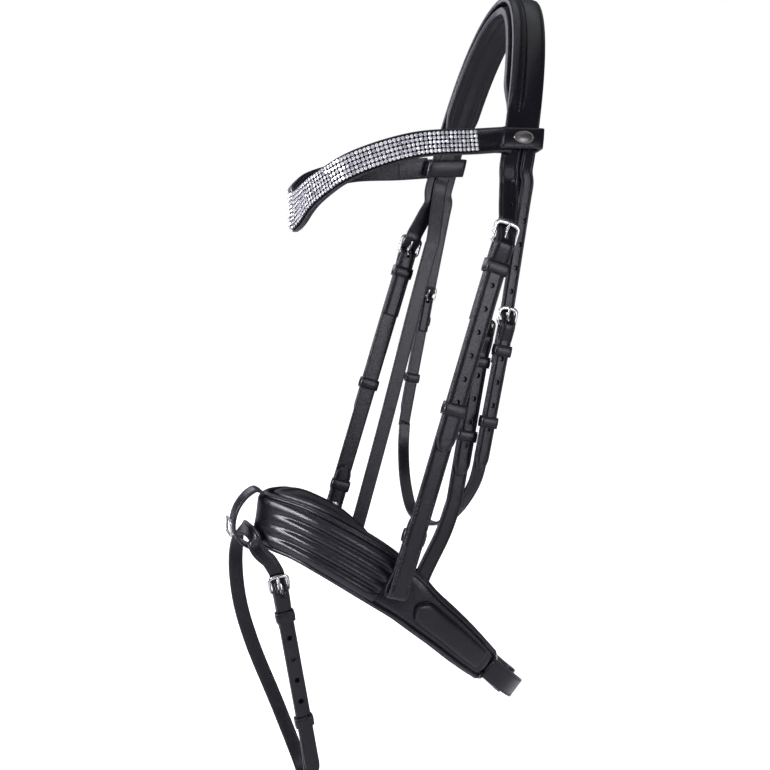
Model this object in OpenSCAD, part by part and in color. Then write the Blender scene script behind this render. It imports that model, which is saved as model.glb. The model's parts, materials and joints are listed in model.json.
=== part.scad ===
// Snaffle bridle with padded headpiece, jewelled browband, crank noseband and flash strap.
// Row frame: origin where the poll bears on the headpiece padding, +Z up, -Y forward
// (towards the muzzle), +X to the horse's left. The straps hang as they do from a hook.

/* [Leather] */
// Thickness of a single strap
strap_t = 2.4; // [2:0.1:2.6]
// Width of the headpiece crown
crown_w = 27; // [26:0.5:28]
// Thickness of the headpiece crown
crown_t = 3; // [2.6:0.1:3.2]
// Width of a cheekpiece and of its billet
cheek_w = 15; // [14:0.5:15.4]
// Width of the strap that carries the noseband
hanger_w = 13; // [12:0.5:14]
// Width of the throatlash
throat_w = 10.6; // [10:0.2:10.8]
// Width of the flash strap
flash_w = 12; // [11:0.5:12.5]
// Width of the crank strap behind the jaw
crank_w = 18; // [16:0.5:18.5]

/* [Headpiece arch] */
// Height of the crown's centreline above the origin
arch_top = 12.5; // [12.4:0.1:14]
// Half width of the arch
arch_half_w = 96; // [95:0.5:98]
// Height of the ellipse that the arch follows
arch_h = 205; // [200:1:210]
// Forward lean of the arch, as forward travel per mm of drop
arch_lean = 0.235; // [0.23:0.005:0.24]
// Twist of the arch, as forward travel per mm to the horse's left
arch_twist = 0.045; // [0.03:0.005:0.05]

/* [Browband] */
// Height of the browband leather
brow_h = 19; // [18:0.5:20]
// Thickness of the browband leather
brow_t = 2.6; // [2.4:0.1:2.8]
// Drop of the browband's centre below its loops
brow_drop = 50; // [44:1:54]

/* [Noseband] */
// Height of the noseband's front
nose_h = 44; // [42:1:46]
// Height of the noseband's side arms
arm_h = 34; // [32:1:36]
// Thickness of the soft lining
lining_t = 7; // [6:0.5:8]

/* [Buckles] */
// Radius of the wire of the cheek buckles
cheek_wire_r = 1.3; // [1.2:0.05:1.35]
// Radius of the wire of the narrow buckles
small_wire_r = 1.1; // [1:0.05:1.15]
// Distance between punched holes
hole_pitch = 18; // [17:0.5:19]
// Radius of a punched hole
hole_r = 1.8; // [1.6:0.1:2]

/* [Bit loops] */
// Radius of the loop that takes the bit ring
bit_bore_r = 3.2; // [3:0.1:3.3]
// Thickness of the leather round the bit ring
bit_wall = 2.4; // [2.2:0.1:2.4]

/* [Hidden] */
$fn = 32;

leather = [0.10, 0.10, 0.12];
soft_leather = [0.14, 0.14, 0.17];
steel = [0.75, 0.76, 0.78];
crystal = [0.92, 0.93, 0.95];

left = 1;
right = -1;
gap = 0.3;            // air between pieces that lie on each other
cut = 0.5;            // overshoot of a cutting solid

// ---- where the straps hang: heel bar of each buckle, and lean of the strap ----
cheek_heel = [106, -57, -193];
cheek_lean = -17.4;
cheek_len = 270;      // heel bar to bit loop, along the strap
hanger_heel = [87, -64, -262];
hanger_lean = -10;
throat_heel_left = [96.4, -49, -253];
throat_heel_right = [-96.4, -41, -236];
throat_lean = -11;
flash_heel = [26, -210, -466];
flash_lean = 9.5;

// ---- vectors and curves ----
function unit(v) = v / norm(v);
function part3(v) = [v[0], v[1], v[2]];
function mirrored(p) = [for (i = [0 : len(p) - 1]) i == 0 || i == 3 ? -p[i] : p[i]];
function reversed(list) = [for (i = [len(list) - 1 : -1 : 0]) list[i]];
function spline(a, b, c, d, t) =
    0.5 * (2 * b + (c - a) * t + (2 * a - 5 * b + 4 * c - d) * t * t
    + (3 * b - a - 3 * c + d) * t * t * t);
// Smooth path through stations of [x, y, z, width direction x, y, z, width].
function smooth(p, steps) = let (last = len(p) - 1) concat(
    [for (i = [0 : last - 1], k = [0 : steps - 1])
        spline(p[max(i - 1, 0)], p[i], p[i + 1], p[min(i + 2, last)], k / steps)],
    [p[last]]);
function tangent(path, i) =
    unit(part3(path[min(i + 1, len(path) - 1)]) - part3(path[max(i - 1, 0)]));
function across(s, t) = let (h = [s[3], s[4], s[5]]) unit(h - (h * t) * t);
function ring(s, t, rise, thick) =
    let (w = across(s, t), n = cross(t, w), c = part3(s) + n * rise)
    [for (k = [[1, 1], [-1, 1], [-1, -1], [1, -1]])
        c + w * s[6] / 2 * k[0] + n * thick / 2 * k[1]];

// A strap of leather: its flat section follows the stations, raised by rise off the path.
module strap(path, thick, rise = 0) {
    last = len(path) - 1;
    points = [for (i = [0 : last]) each ring(path[i], tangent(path, i), rise, thick)];
    sides = [for (i = [0 : last - 1], k = [0 : 3])
        let (a = 4 * i + k, b = 4 * i + (k + 1) % 4)
        each [[a, b + 4, b], [a, a + 4, b + 4]]];
    start_cap = [[3, 1, 2], [3, 0, 1]];
    end_cap = [[4 * last, 4 * last + 2, 4 * last + 1], [4 * last, 4 * last + 3, 4 * last + 2]];
    polyhedron(points = points, faces = concat(sides, start_cap, end_cap), convexity = 8);
}

// ---- frames ----
module at_cheek(side) {
    mirror([side == left ? 0 : 1, 0, 0]) translate(cheek_heel) rotate([cheek_lean, 0, 0]) children();
}
module at_hanger() {
    translate(hanger_heel) rotate([hanger_lean, 0, 0]) children();
}
module at_throat(side) {
    translate(side == left ? throat_heel_left : throat_heel_right) rotate([throat_lean, 0, 0])
        mirror([side == left ? 0 : 1, 0, 0]) children();
}
module at_flash() {
    translate(flash_heel) rotate([flash_lean, 0, 0]) children();
}

// Stations given in a heel bar's frame, carried to the row frame.
function lean_by(v, lean) =
    [v[0], v[1] * cos(lean) - v[2] * sin(lean), v[1] * sin(lean) + v[2] * cos(lean)];
function placed(path, heel, lean) = [for (s = path)
    concat(lean_by(part3(s), lean) + heel, lean_by([s[3], s[4], s[5]], lean), [s[6]])];
// The same path moved off its own line by rise, towards its outer face.
function lifted(path, rise) = [for (i = [0 : len(path) - 1])
    let (s = path[i], t = tangent(path, i), n = cross(t, across(s, t)))
    concat(part3(s) + n * rise, [s[3], s[4], s[5], s[6]])];
function resized(path, scale_w, add_w = 0) =
    [for (s = path) [s[0], s[1], s[2], s[3], s[4], s[5], s[6] * scale_w + add_w]];

// ---- hardware, in the frame of a heel bar: strap hangs down -Z, outside is +X ----
cheek_bar = 15;       // heel bar to front bar
small_bar = 11.5;
keeper_high = 10;      // height of the loops on the cheek straps
small_keeper_high = 8.5;
prong_r = 0.85;
eye_play = 0.2;       // air between a bar and the leather or prong that turns on it
eye_wall = 1.7;
prong_ring_w = 2.2;
keeper_wall = 1.3;
rest_x = strap_t + gap;                                  // billet lying on its strap
over_x = cheek_wire_r + eye_play + eye_wall + gap + 0.2 + strap_t / 2;
under_x = -(cheek_wire_r + gap + 0.2 + strap_t / 2);

module bar(r, width) rotate([90, 0, 0]) cylinder(r = r, h = width, center = true);

module buckle(width, reach, r) {
    side_y = width / 2 + r + 0.6;
    for (z = [0, reach]) translate([0, 0, z]) bar(r, 2 * side_y);
    for (s = [-1, 1], z = [0, reach]) translate([0, s * side_y, z]) sphere(r = r);
    for (s = [-1, 1]) translate([0, s * side_y, 0]) cylinder(r = r, h = reach);
}

module prong(reach, r) {
    ring_r = r + eye_play + 0.9;
    tip_x = r + prong_r + 0.15;
    root_z = r + eye_play + 0.4;
    slope = atan2(tip_x - 0.3, reach - root_z);
    difference() {
        union() {
            bar(ring_r, prong_ring_w);
            translate([0.3, 0, root_z]) rotate([0, slope, 0])
                cylinder(r = prong_r, h = reach - root_z + r + 0.6);
        }
        bar(r + eye_play, prong_ring_w + cut);
    }
}

// Turned end of a strap: a tube of leather round the heel bar, open in the middle for the prong.
module eye(width, r) {
    difference() {
        bar(r + eye_play + eye_wall, width + 0.2);
        bar(r + eye_play, width + cut);
        translate([0, 0, 1]) cube([20, prong_ring_w + 1.2, 8], center = true);
    }
}

// Leather loop: opening from x0 to x1 and width wide, hung at height z.
module keeper(x0, x1, width, z, high) {
    translate([(x0 + x1) / 2, 0, z]) difference() {
        cube([x1 - x0 + 2 * keeper_wall, width + 2 * keeper_wall, high], center = true);
        cube([x1 - x0, width, high + cut], center = true);
    }
}

// Keeper round a strap and the billet that lies on it.
module strap_keeper(width, z, high, inner = strap_t / 2, outer = rest_x + strap_t / 2) {
    keeper(-inner - gap, outer + gap, width + 2 * gap, z, high);
}

module punch(x, z, long = 8) {
    translate([x, 0, z]) rotate([0, 90, 0]) cylinder(r = hole_r, h = long, center = true);
}

// Long hole that a prong stands in; it leaves room for the prong to lift.
module prong_slot(reach) {
    slot_w = 2 * prong_r + 1;
    translate([-5, -slot_w / 2, 0.22 * reach]) cube([12, slot_w, 0.6 * reach]);
}

// Billet through a buckle: behind the front bar, over the heel bar, down to its pointed tip.
function billet(reach, width, down, rest = rest_x) = let (t0 = 14) smooth([
    [under_x, 0, reach + 4, 0, 1, 0, width],
    [under_x, 0, reach, 0, 1, 0, width],
    [(under_x + over_x) / 2, 0, reach / 2, 0, 1, 0, width],
    [over_x, 0, 0.5, 0, 1, 0, width],
    [over_x - 0.3, 0, -5, 0, 1, 0, width],
    [rest + 0.7, 0, -12, 0, 1, 0, width],
    [rest, 0, -20, 0, 1, 0, width],
    [rest, 0, -30, 0, 1, 0, width],
    [rest, 0, -down + t0, 0, 1, 0, width],
    [rest, 0, -down + 8, 0, 1, 0, width * 0.86],
    [rest, 0, -down + 3, 0, 1, 0, width * 0.55],
    [rest, 0, -down, 0, 1, 0, width * 0.22]], 2);

// ---- headpiece ----
arch_bow = 2;         // forward bow of the arch's flanks
crown_end = 74;       // parameter of the arch at the crown's lower ends
padding_end = 60;
arch_count = 22;
function arch(a, width) = let (x = arch_half_w * sin(a), drop = arch_h * (1 - cos(a)))
    [x, -arch_lean * drop - arch_twist * x - arch_bow * sin(abs(a) * 2), arch_top - drop, 0, 1, 0, width];
function arch_stations(end, width) =
    [for (i = [-arch_count : arch_count]) arch(end * i / arch_count, width)];
headstrap_rise = -(crown_t / 2 + gap + strap_t / 2);
padding_t = arch_top - crown_t / 2 - strap_t - 2 * gap;
padding_rise = -(crown_t / 2 + strap_t + 2 * gap + padding_t / 2);
split_gap = 0.8;      // slit between the cheek billet and the throat billet
// Lower end of the crown on one side, as seen in the left side's frame.
function crown_corner(side) = let (c = arch(side * crown_end, crown_w)) [abs(c[0]), c[1], c[2]];
split_z = crown_corner(left)[2] - 10;
// Swing axes of the billets, at their round shoulders just under the crown.
function cheek_swing(side) = let (c = crown_corner(side))
    [c[0] + 0.6, c[1] - (crown_w - cheek_w) / 2, split_z];
function throat_swing(side) = let (c = crown_corner(side))
    [c[0] + 0.2, c[1] + (crown_w - throat_w) / 2 + split_gap, split_z];

module headpiece() color(leather) strap(arch_stations(crown_end, crown_w), crown_t);

module headpiece_padding() {
    color(soft_leather) strap(arch_stations(padding_end, crown_w + 3), padding_t, padding_rise);
}

// ---- billets ----
// Round upper end of a billet, centred on its swing axis.
function shoulder(swing, width) = [for (a = [75 : -25 : 25])
    concat(swing + [0, 0, width / 2 * sin(a)], [0, 1, 0, width * cos(a)])];
// Stretch of a billet from its shoulder to just above its buckle.
function drop(swing, heel, lean, reach, width) = concat(shoulder(swing, width), smooth([
    concat(swing, [0, 1, 0, width]),
    concat(swing + [0.7, -1.8, -11], [0, 1, 0, width]),
    concat(heel + lean_by([under_x, 0, reach + 5], lean), lean_by([0, 1, 0], lean), [width])], 4));

module cheek_billet(side) {
    swing = cheek_swing(side);
    mirror([side == left ? 0 : 1, 0, 0]) color(leather) difference() {
        strap(concat(drop(swing, cheek_heel, cheek_lean, cheek_bar, cheek_w),
            placed(billet(cheek_bar, cheek_w, 160), cheek_heel, cheek_lean)), strap_t);
        translate(cheek_heel) rotate([cheek_lean, 0, 0]) {
            prong_slot(cheek_bar);
            for (i = [0 : 5]) punch(rest_x, -32 - i * hole_pitch);
            for (i = [1 : 2]) punch(2 * under_x, cheek_bar - 4 + i * hole_pitch, 18);
        }
    }
}

module throat_billet(side) {
    swing = throat_swing(side);
    heel = side == left ? throat_heel_left
        : [-throat_heel_right[0], throat_heel_right[1], throat_heel_right[2]];
    spare = side == left ? 4 : 3;
    mirror([side == left ? 0 : 1, 0, 0]) color(leather) difference() {
        strap(concat(drop(swing, heel, throat_lean, small_bar, throat_w),
            placed(billet(small_bar, throat_w, 112), heel, throat_lean)), strap_t);
        translate(heel) rotate([throat_lean, 0, 0]) {
            prong_slot(small_bar);
            for (i = [0 : 3]) punch(rest_x, -26 - i * hole_pitch);
            for (i = [1 : spare]) punch(under_x, small_bar - 4 + i * hole_pitch);
        }
    }
}

// ---- browband ----
function brow_loop(side) = let (c = arch(side * 67.5, 0)) [abs(c[0]), c[1], c[2]];
brow_loop_tilt = -11;
brow_loop_lean = -10;
loop_inside = crown_t / 2 + gap + strap_t + 1.6;
loop_outside = crown_t / 2 + 1.4;
loop_play = 4;        // room to slide along the crown
band_x = brow_loop(left)[0] + loop_outside + brow_t / 2;
brow_z = brow_loop(left)[2];
brow_half = [
    [band_x, -42, brow_z, -0.19, 0, 0.98, brow_h],
    [band_x - 1.5, -72, brow_z - 3, -0.1, 0, 1, brow_h],
    [86.5, -118, brow_z - 7, 0, 0, 1, brow_h],
    [68, -159, brow_z - 20, 0, 0, 1, brow_h + 1],
    [38, -181, brow_z - 36, 0, 0, 1, brow_h + 4],
    [12, -188, brow_z - 48, 0, 0, 1, brow_h + 11],
    [0, -189, brow_z - brow_drop, 0, 0, 1, brow_h + 14]];
brow_path = smooth(concat([for (s = brow_half) mirrored(s)],
    [for (i = [len(brow_half) - 2 : -1 : 0]) brow_half[i]]), 5);
brow_front = [for (s = brow_path) if (s[1] < -66) s];

module brow_loop_leather(side) {
    mirror([side == left ? 0 : 1, 0, 0])
        translate(brow_loop(side)) rotate([brow_loop_lean, 0, 0]) rotate([0, brow_loop_tilt, 0])
        translate([(loop_outside - loop_inside) / 2, 0, 0]) difference() {
            cube([loop_inside + loop_outside + 2 * brow_t, crown_w + loop_play + 2 * brow_t, brow_h],
                center = true);
            cube([loop_inside + loop_outside, crown_w + loop_play, brow_h + cut], center = true);
        }
}

module browband() {
    color(leather) {
        strap(brow_path, brow_t);
        for (side = [left, right]) brow_loop_leather(side);
    }
}

module browband_lining() {
    color(soft_leather) strap(resized(brow_front, 1, -2), 1.4, -(brow_t / 2 + 2 * gap + 0.7));
}

module browband_crystals() {
    color(crystal) strap(resized(brow_front, 1, -3), 1.8, brow_t / 2 + 2 * gap + 0.9);
}

// Plain oval studs on the browband's loops.
module browband_rosettes() {
    color(steel) for (s = [left, right]) mirror([s == left ? 0 : 1, 0, 0])
        translate(brow_loop(s)) rotate([brow_loop_lean, 0, 0]) rotate([0, 90 + brow_loop_tilt, 0])
        translate([0, 0, loop_outside + brow_t + gap]) {
            for (y = [-3.5, 3.5]) translate([0, y, 0]) cylinder(r = 5, h = 1.6);
            translate([-5, -3.5, 0]) cube([10, 7, 1.6]);
        }
}

// ---- strap that carries the noseband: over the poll inside the headpiece, then down ----
landing = [85.7, -115, -452];
hanger_tongue = [85.7, -119, -464];

module noseband_headstrap() {
    crown = lifted(arch_stations(crown_end, hanger_w), headstrap_rise);
    far_side = [
        mirrored(concat(hanger_tongue, [0, 1, 0, hanger_w])),
        mirrored(concat(landing, [0, 1, 0, hanger_w])),
        [-hanger_heel[0], -84, -345, 0, 1, 0, hanger_w],
        [-hanger_heel[0], -57, -245, 0, 1, 0, hanger_w],
        [-hanger_heel[0] - 0.5, -38, -178, 0, 1, 0, hanger_w]];
    near_side = [
        [hanger_heel[0] - 0.5, -45, -178, 0, 1, 0, hanger_w],
        [hanger_heel[0] - 2, -53, -215, 0, 1, 0, hanger_w]];
    color(leather) difference() {
        strap(concat(smooth(far_side, 5), crown, smooth(near_side, 4),
            placed(billet(small_bar, hanger_w, 108), hanger_heel, hanger_lean)), strap_t);
        at_hanger() {
            prong_slot(small_bar);
            for (i = [0 : 3]) punch(rest_x, -30 - i * hole_pitch);
        }
    }
}

module noseband_hanger() {
    straight = 104;
    color(leather) union() {
        at_hanger() eye(hanger_w, small_wire_r);
        strap(concat(
            placed([[0, 0, -small_wire_r - 1.2, 0, 1, 0, hanger_w],
                [0, 0, -straight, 0, 1, 0, hanger_w]], hanger_heel, hanger_lean),
            smooth([[hanger_heel[0], -86, -387, 0, 1, 0, hanger_w],
                [hanger_heel[0], -95, -412, 0, 1, 0, hanger_w],
                concat(landing + [0.2, 5, 10], [0, 1, 0, hanger_w]),
                concat(hanger_tongue, [0, 1, 0, hanger_w])], 4)), strap_t);
    }
}

module hanger_buckle() color(steel) at_hanger() buckle(hanger_w, small_bar, small_wire_r);
module hanger_prong() color(steel) at_hanger() prong(small_bar, small_wire_r);
module hanger_keeper() color(leather) at_hanger()
    strap_keeper(hanger_w, -19.5, small_keeper_high, strap_t / 2, rest_x + 1.6);
module hanger_runner() color(leather) at_hanger() strap_keeper(hanger_w, -77, small_keeper_high);

// ---- cheekpieces ----
bit_eye_r = bit_bore_r + bit_wall;
bit_eye_x = strap_t / 2 - bit_eye_r;
turn_back = 58;       // length of the end turned up behind the bit loop
double_len = 60;      // length of the end turned down behind the buckle
flap_x = -(strap_t + gap) - 0.6;
stud_z = -cheek_len + 24;

module cheekpiece(side) {
    at_cheek(side) color(leather) difference() {
        union() {
            eye(cheek_w, cheek_wire_r);
            translate([-strap_t / 2, -cheek_w / 2, -cheek_len])
                cube([strap_t, cheek_w, cheek_len - cheek_wire_r - 1.2]);
            translate([-strap_t * 1.5, -cheek_w / 2, -double_len])
                cube([strap_t * 1.2, cheek_w, double_len - cheek_wire_r - 1.2]);
            translate([bit_eye_x, 0, -cheek_len]) bar(bit_eye_r, cheek_w);
            translate([flap_x - strap_t / 2, -cheek_w / 2, -cheek_len + 2])
                cube([strap_t, cheek_w, turn_back]);
        }
        translate([bit_eye_x, 0, -cheek_len]) bar(bit_bore_r, cheek_w + cut);
        translate([flap_x, 0, stud_z]) rotate([0, 90, 0])
            cylinder(r = 2.1, h = 2 * strap_t, center = true);
    }
}

module hook_stud(side) {
    head_h = 1;
    at_cheek(side) color(steel) translate([0, 0, stud_z]) rotate([0, -90, 0]) {
        translate([0, 0, strap_t / 2 + 0.1]) cylinder(r = 1.6, h = -flap_x + 0.4);
        translate([0, 0, -flap_x + strap_t / 2 + 0.3]) cylinder(r = 3.2, h = head_h);
    }
}

module cheek_buckle(side) at_cheek(side) color(steel) buckle(cheek_w, cheek_bar, cheek_wire_r);
module cheek_prong(side) at_cheek(side) color(steel) prong(cheek_bar, cheek_wire_r);
module cheek_keeper(side) at_cheek(side) color(leather)
    strap_keeper(cheek_w, -18, keeper_high, strap_t * 1.5, rest_x + 1.6);
module cheek_runner(side) at_cheek(side) color(leather) strap_keeper(cheek_w, -128, keeper_high);
module bit_keeper(side) at_cheek(side) color(leather)
    strap_keeper(cheek_w, -227, keeper_high, -flap_x + strap_t / 2, strap_t / 2);

// ---- throatlash ----
module throatlash() {
    near_heel = throat_heel_left;
    far_heel = throat_heel_right;
    near_run = placed([[0, 0, -small_wire_r - 1.2, 0, 1, 0, throat_w],
        [0, 0, -95, 0, 1, 0, throat_w]], near_heel, throat_lean);
    far_run = placed([[0, 0, -112, 0, 1, 0, throat_w],
        [0, 0, -small_wire_r - 1.2, 0, 1, 0, throat_w]], far_heel, throat_lean);
    under = [
        near_run[1],
        [90, -70, -372, 0, 1, 0, throat_w],
        [74, -76, -396, 0, 1, 0, throat_w],
        [45, -79, -415, 0, 1, 0, throat_w],
        [5, -78, -424, 0, 1, 0, throat_w],
        [-40, -75, -424, 0, 1, 0, throat_w],
        [-74, -70, -404, 0, 1, 0, throat_w],
        [-91, -66, -375, 0, 1, 0, throat_w],
        far_run[0]];
    color(leather) {
        strap(concat([near_run[0]], smooth(under, 4), [far_run[1]]), strap_t);
        for (side = [left, right]) at_throat(side) eye(throat_w, small_wire_r);
    }
}

module throat_buckle(side) at_throat(side) color(steel) buckle(throat_w, small_bar, small_wire_r);
module throat_prong(side) at_throat(side) color(steel) prong(small_bar, small_wire_r);
module throat_keeper(side) at_throat(side) color(leather)
    strap_keeper(throat_w, -20, small_keeper_high, strap_t / 2, rest_x + 1.6);
module throat_runner(side) at_throat(side) color(leather) strap_keeper(throat_w, -75, small_keeper_high);

// ---- noseband ----
nose_half = [
    [0, -219, -411, 0, 0.17, 0.985, nose_h],
    [37, -197, -416, 0, 0.2, 0.98, nose_h + 1],
    [60, -176, -426, 0, 0.25, 0.97, nose_h + 1],
    [80, -149, -442, 0, 0.37, 0.93, nose_h],
    [89, -126, -459, 0, 0.53, 0.85, arm_h + 6],
    [90, -110, -474, 0, 0.62, 0.79, arm_h + 2],
    [88, -92, -490, 0, 0.62, 0.79, arm_h],
    [83, -73, -508, 0, 0.62, 0.79, arm_h - 2],
    [76, -54, -526, 0, 0.6, 0.8, arm_h - 6]];
nose_path = smooth(concat(reversed([for (s = nose_half) mirrored(s)]),
    [for (i = [1 : len(nose_half) - 1]) nose_half[i]]), 6);
nose_t = 2.4;
panel_rise = nose_t / 2 + 2 * gap;
lining_rise = -(nose_t / 2 + strap_t + 9 * gap + lining_t / 2);
front_panel_end = -137;
side_panel = [-120, -62];

module noseband() color(leather) strap(nose_path, nose_t);
module noseband_lining() color(soft_leather) strap(resized(nose_path, 1, 2), lining_t, lining_rise);
module noseband_front_panel() {
    color(leather) strap(resized([for (s = nose_path) if (s[1] < front_panel_end) s], 0.82),
        3.6, panel_rise + 1.8);
}
module noseband_side_panel(side) {
    path = [for (s = nose_path) if (s[1] > side_panel[0] && s[1] < side_panel[1] && s[0] > 0) s];
    mirror([side == left ? 0 : 1, 0, 0]) color(leather)
        strap(resized(path, 0.55), 3, panel_rise + 1.5);
}

// ---- end rings and crank strap ----
ring_r = 1.2;
ring_reach = 15;      // between the ring's two bars
nose_end = nose_path[len(nose_path) - 1];
ring_out = tangent(nose_path, len(nose_path) - 1);
ring_w = across(nose_end, ring_out);
ring_n = cross(ring_out, ring_w);
ring_centre = part3(nose_end) + 9 * ring_out - 3.3 * ring_n;
crank_half = [
    concat(ring_centre, [0, 0.65, 0.76, crank_w]),
    [64, -31, -547, 0, 0.65, 0.76, crank_w],
    [48, -17, -559, 0, 0.65, 0.76, crank_w],
    [24, -7, -568, 0, 0.65, 0.76, crank_w],
    [0, -4, -571, 0, 0.65, 0.76, crank_w]];
crank_path = smooth(concat(crank_half,
    [for (i = [len(crank_half) - 2 : -1 : 0]) mirrored(crank_half[i])]), 4);
layer = ring_r + 2 * gap + strap_t / 2;
inner_run = lifted(crank_path, -layer);
outer_run = lifted(crank_path, layer);
// Turn of the strap round a ring's bar, from its inner face to its outer face.
function turn(side) = let (
    i = side == left ? 0 : len(crank_path) - 1,
    s = crank_path[i], t = tangent(crank_path, i), n = cross(t, across(s, t)))
    [for (a = [-60 : 30 : 60])
        concat(part3(s) + layer * (n * sin(a) - side * t * cos(a)), [s[3], s[4], s[5], crank_w])];
crank_buckle_x = -6;
crank_w_dir = unit([0, 0.65, 0.76]);
crank_out = [0, crank_w_dir[2], -crank_w_dir[1]];

module at_crank() {
    multmatrix([[0, 0, 1, crank_buckle_x],
        [crank_out[1], crank_w_dir[1], 0, -4 + layer * crank_out[1]],
        [crank_out[2], crank_w_dir[2], 0, -571 + layer * crank_out[2]],
        [0, 0, 0, 1]]) children();
}

// Rectangular ring: one bar under the noseband's end, the other carries the crank strap.
module end_ring(side) {
    half = crank_w / 2 + ring_r + 1;
    mirror([side == left ? 0 : 1, 0, 0]) color(steel)
        multmatrix([[ring_n[0], ring_w[0], -ring_out[0], ring_centre[0]],
            [ring_n[1], ring_w[1], -ring_out[1], ring_centre[1]],
            [ring_n[2], ring_w[2], -ring_out[2], ring_centre[2]],
            [0, 0, 0, 1]]) {
            for (z = [0, ring_reach]) translate([0, 0, z]) bar(ring_r, 2 * half);
            for (s = [-1, 1], z = [0, ring_reach]) translate([0, s * half, z]) sphere(r = ring_r);
            for (s = [-1, 1]) translate([0, s * half, 0]) cylinder(r = ring_r, h = ring_reach);
        }
}

module crank_strap() {
    sewn_flap = [for (i = [len(crank_path) - 9 : len(crank_path) - 2]) outer_run[i]];
    main_run = [for (i = [len(crank_path) - 2 : -1 : 1]) inner_run[i]];
    back = [for (i = [1 : len(crank_path) - 1]) if (outer_run[i][0] > 26) outer_run[i]];
    tail = [for (s = billet(small_bar, crank_w, 38, 0.6))
        [crank_buckle_x + s[2], -4 + (layer + s[0]) * crank_out[1],
            -571 + (layer + s[0]) * crank_out[2], 0, 0.65, 0.76, s[6]]];
    color(leather) difference() {
        strap(concat(sewn_flap, reversed(turn(right)), main_run, turn(left), back, tail), strap_t);
        at_crank() prong_slot(small_bar);
    }
}

// The chape that holds the crank buckle is stitched to the outer face of the strap.
chape_t = 2.4;
chape_x = -2 * layer + strap_t / 2 + gap;

module crank_chape() {
    at_crank() color(leather) {
        eye(crank_w, small_wire_r);
        translate([chape_x, -crank_w / 2, -30]) cube([chape_t, crank_w, 30 - small_wire_r - 0.2]);
    }
}
module crank_buckle() at_crank() color(steel) buckle(crank_w, small_bar, small_wire_r);
module crank_prong() at_crank() color(steel) prong(small_bar, small_wire_r);
module crank_runner() at_crank() color(leather)
    keeper(-2 * layer - strap_t / 2 - gap, 0.6 + strap_t / 2 + 1, crank_w + 2 * gap, -22,
        small_keeper_high);
module chin_pad() {
    color(soft_leather) strap(resized([for (s = crank_path) if (abs(s[0]) < 50) s], 1, 6),
        8, -layer - strap_t / 2 - gap - 4);
}

// ---- flash ----
tab_w = 20;
module flash_tab() {
    color(leather) strap(smooth([
        [0, -219, -390, 1, 0, 0, tab_w],
        [0, -225, -387, 1, 0, 0, tab_w],
        [0, -234, -393, 1, 0, 0, tab_w],
        [0, -241, -404, 1, 0, 0, tab_w],
        [0, -243, -417, 1, 0, 0, tab_w],
        [0, -238, -428, 1, 0, 0, tab_w],
        [0, -229, -434, 1, 0, 0, tab_w]], 4), 2.2);
}

module flash_tab_dee() {
    dee_r = 1;
    color(steel) translate([0, -246, -416]) rotate([0, 0, -90]) {
        for (z = [-6, 6]) translate([0, 0, z]) bar(dee_r, tab_w + 2);
        for (s = [-1, 1], z = [-6, 6]) translate([0, s * (tab_w / 2 + 1), z]) sphere(r = dee_r);
        for (s = [-1, 1]) translate([0, s * (tab_w / 2 + 1), -6]) cylinder(r = dee_r, h = 12);
    }
}

module flash_strap() {
    near_run = placed([[0, 0, -small_wire_r - 1.2, 0, 1, 0, flash_w],
        [0, 0, -118, 0, 1, 0, flash_w]], flash_heel, flash_lean);
    loop = smooth([
        near_run[1],
        [25, -187, -606, 0, 1, 0, flash_w],
        [20, -184, -632, 0, 1, 0, flash_w],
        [4, -181, -650, 0, 1, 0, flash_w],
        [-16, -180, -652, 0, 1, 0, flash_w],
        [-31, -183, -636, 0, 1, 0, flash_w],
        [-36, -202, -582, 0, 1, 0, flash_w],
        [-38, -220, -534, 0, 1, 0, flash_w],
        [-39, -231, -495, 0, 1, 0, flash_w],
        [-38, -235, -460, 0, 0.9, 0.4, flash_w],
        [-31, -234, -432, 0, 0.6, 0.8, flash_w],
        [-17, -232, -416, 0, 0.3, 0.95, flash_w],
        [0, -231, -411, 0, 0.1, 1, flash_w],
        [14, -229, -416, 0, 0.3, 0.95, flash_w],
        [21, -228, -430, 0, 0.7, 0.7, flash_w],
        [23, -218, -441, 0, 1, 0.2, flash_w]], 3);
    color(leather) difference() {
        union() {
            at_flash() eye(flash_w, small_wire_r);
            strap(concat([near_run[0]], loop,
                placed(billet(small_bar, flash_w, 158), flash_heel, flash_lean)), strap_t);
        }
        at_flash() {
            prong_slot(small_bar);
            for (i = [0 : 3]) punch(rest_x, -38 - i * hole_pitch);
        }
    }
}

module flash_buckle() at_flash() color(steel) buckle(flash_w, small_bar, small_wire_r);
module flash_prong() at_flash() color(steel) prong(small_bar, small_wire_r);
module flash_keeper() at_flash() color(leather)
    strap_keeper(flash_w, -20, small_keeper_high, strap_t / 2, rest_x + 1.6);
module flash_runner() at_flash() color(leather) strap_keeper(flash_w, -110, small_keeper_high);

headpiece();
headpiece_padding();
cheek_billet(left);  // cheek_billet_left
cheek_billet(right);  // cheek_billet_right
throat_billet(left);  // throat_billet_left
throat_billet(right);  // throat_billet_right
browband();
browband_lining();
browband_crystals();
browband_rosettes();
noseband_headstrap();
noseband_hanger();
hanger_buckle();
hanger_prong();
hanger_keeper();
hanger_runner();
cheekpiece(left);  // cheekpiece_left
cheekpiece(right);  // cheekpiece_right
cheek_buckle(left);  // cheek_buckle_left
cheek_buckle(right);  // cheek_buckle_right
cheek_prong(left);  // cheek_prong_left
cheek_prong(right);  // cheek_prong_right
cheek_keeper(left);  // cheek_keeper_left
cheek_keeper(right);  // cheek_keeper_right
cheek_runner(left);  // cheek_runner_left
cheek_runner(right);  // cheek_runner_right
bit_keeper(left);  // bit_keeper_left
bit_keeper(right);  // bit_keeper_right
hook_stud(left);  // hook_stud_left
hook_stud(right);  // hook_stud_right
throatlash();
throat_buckle(left);  // throat_buckle_left
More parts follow.
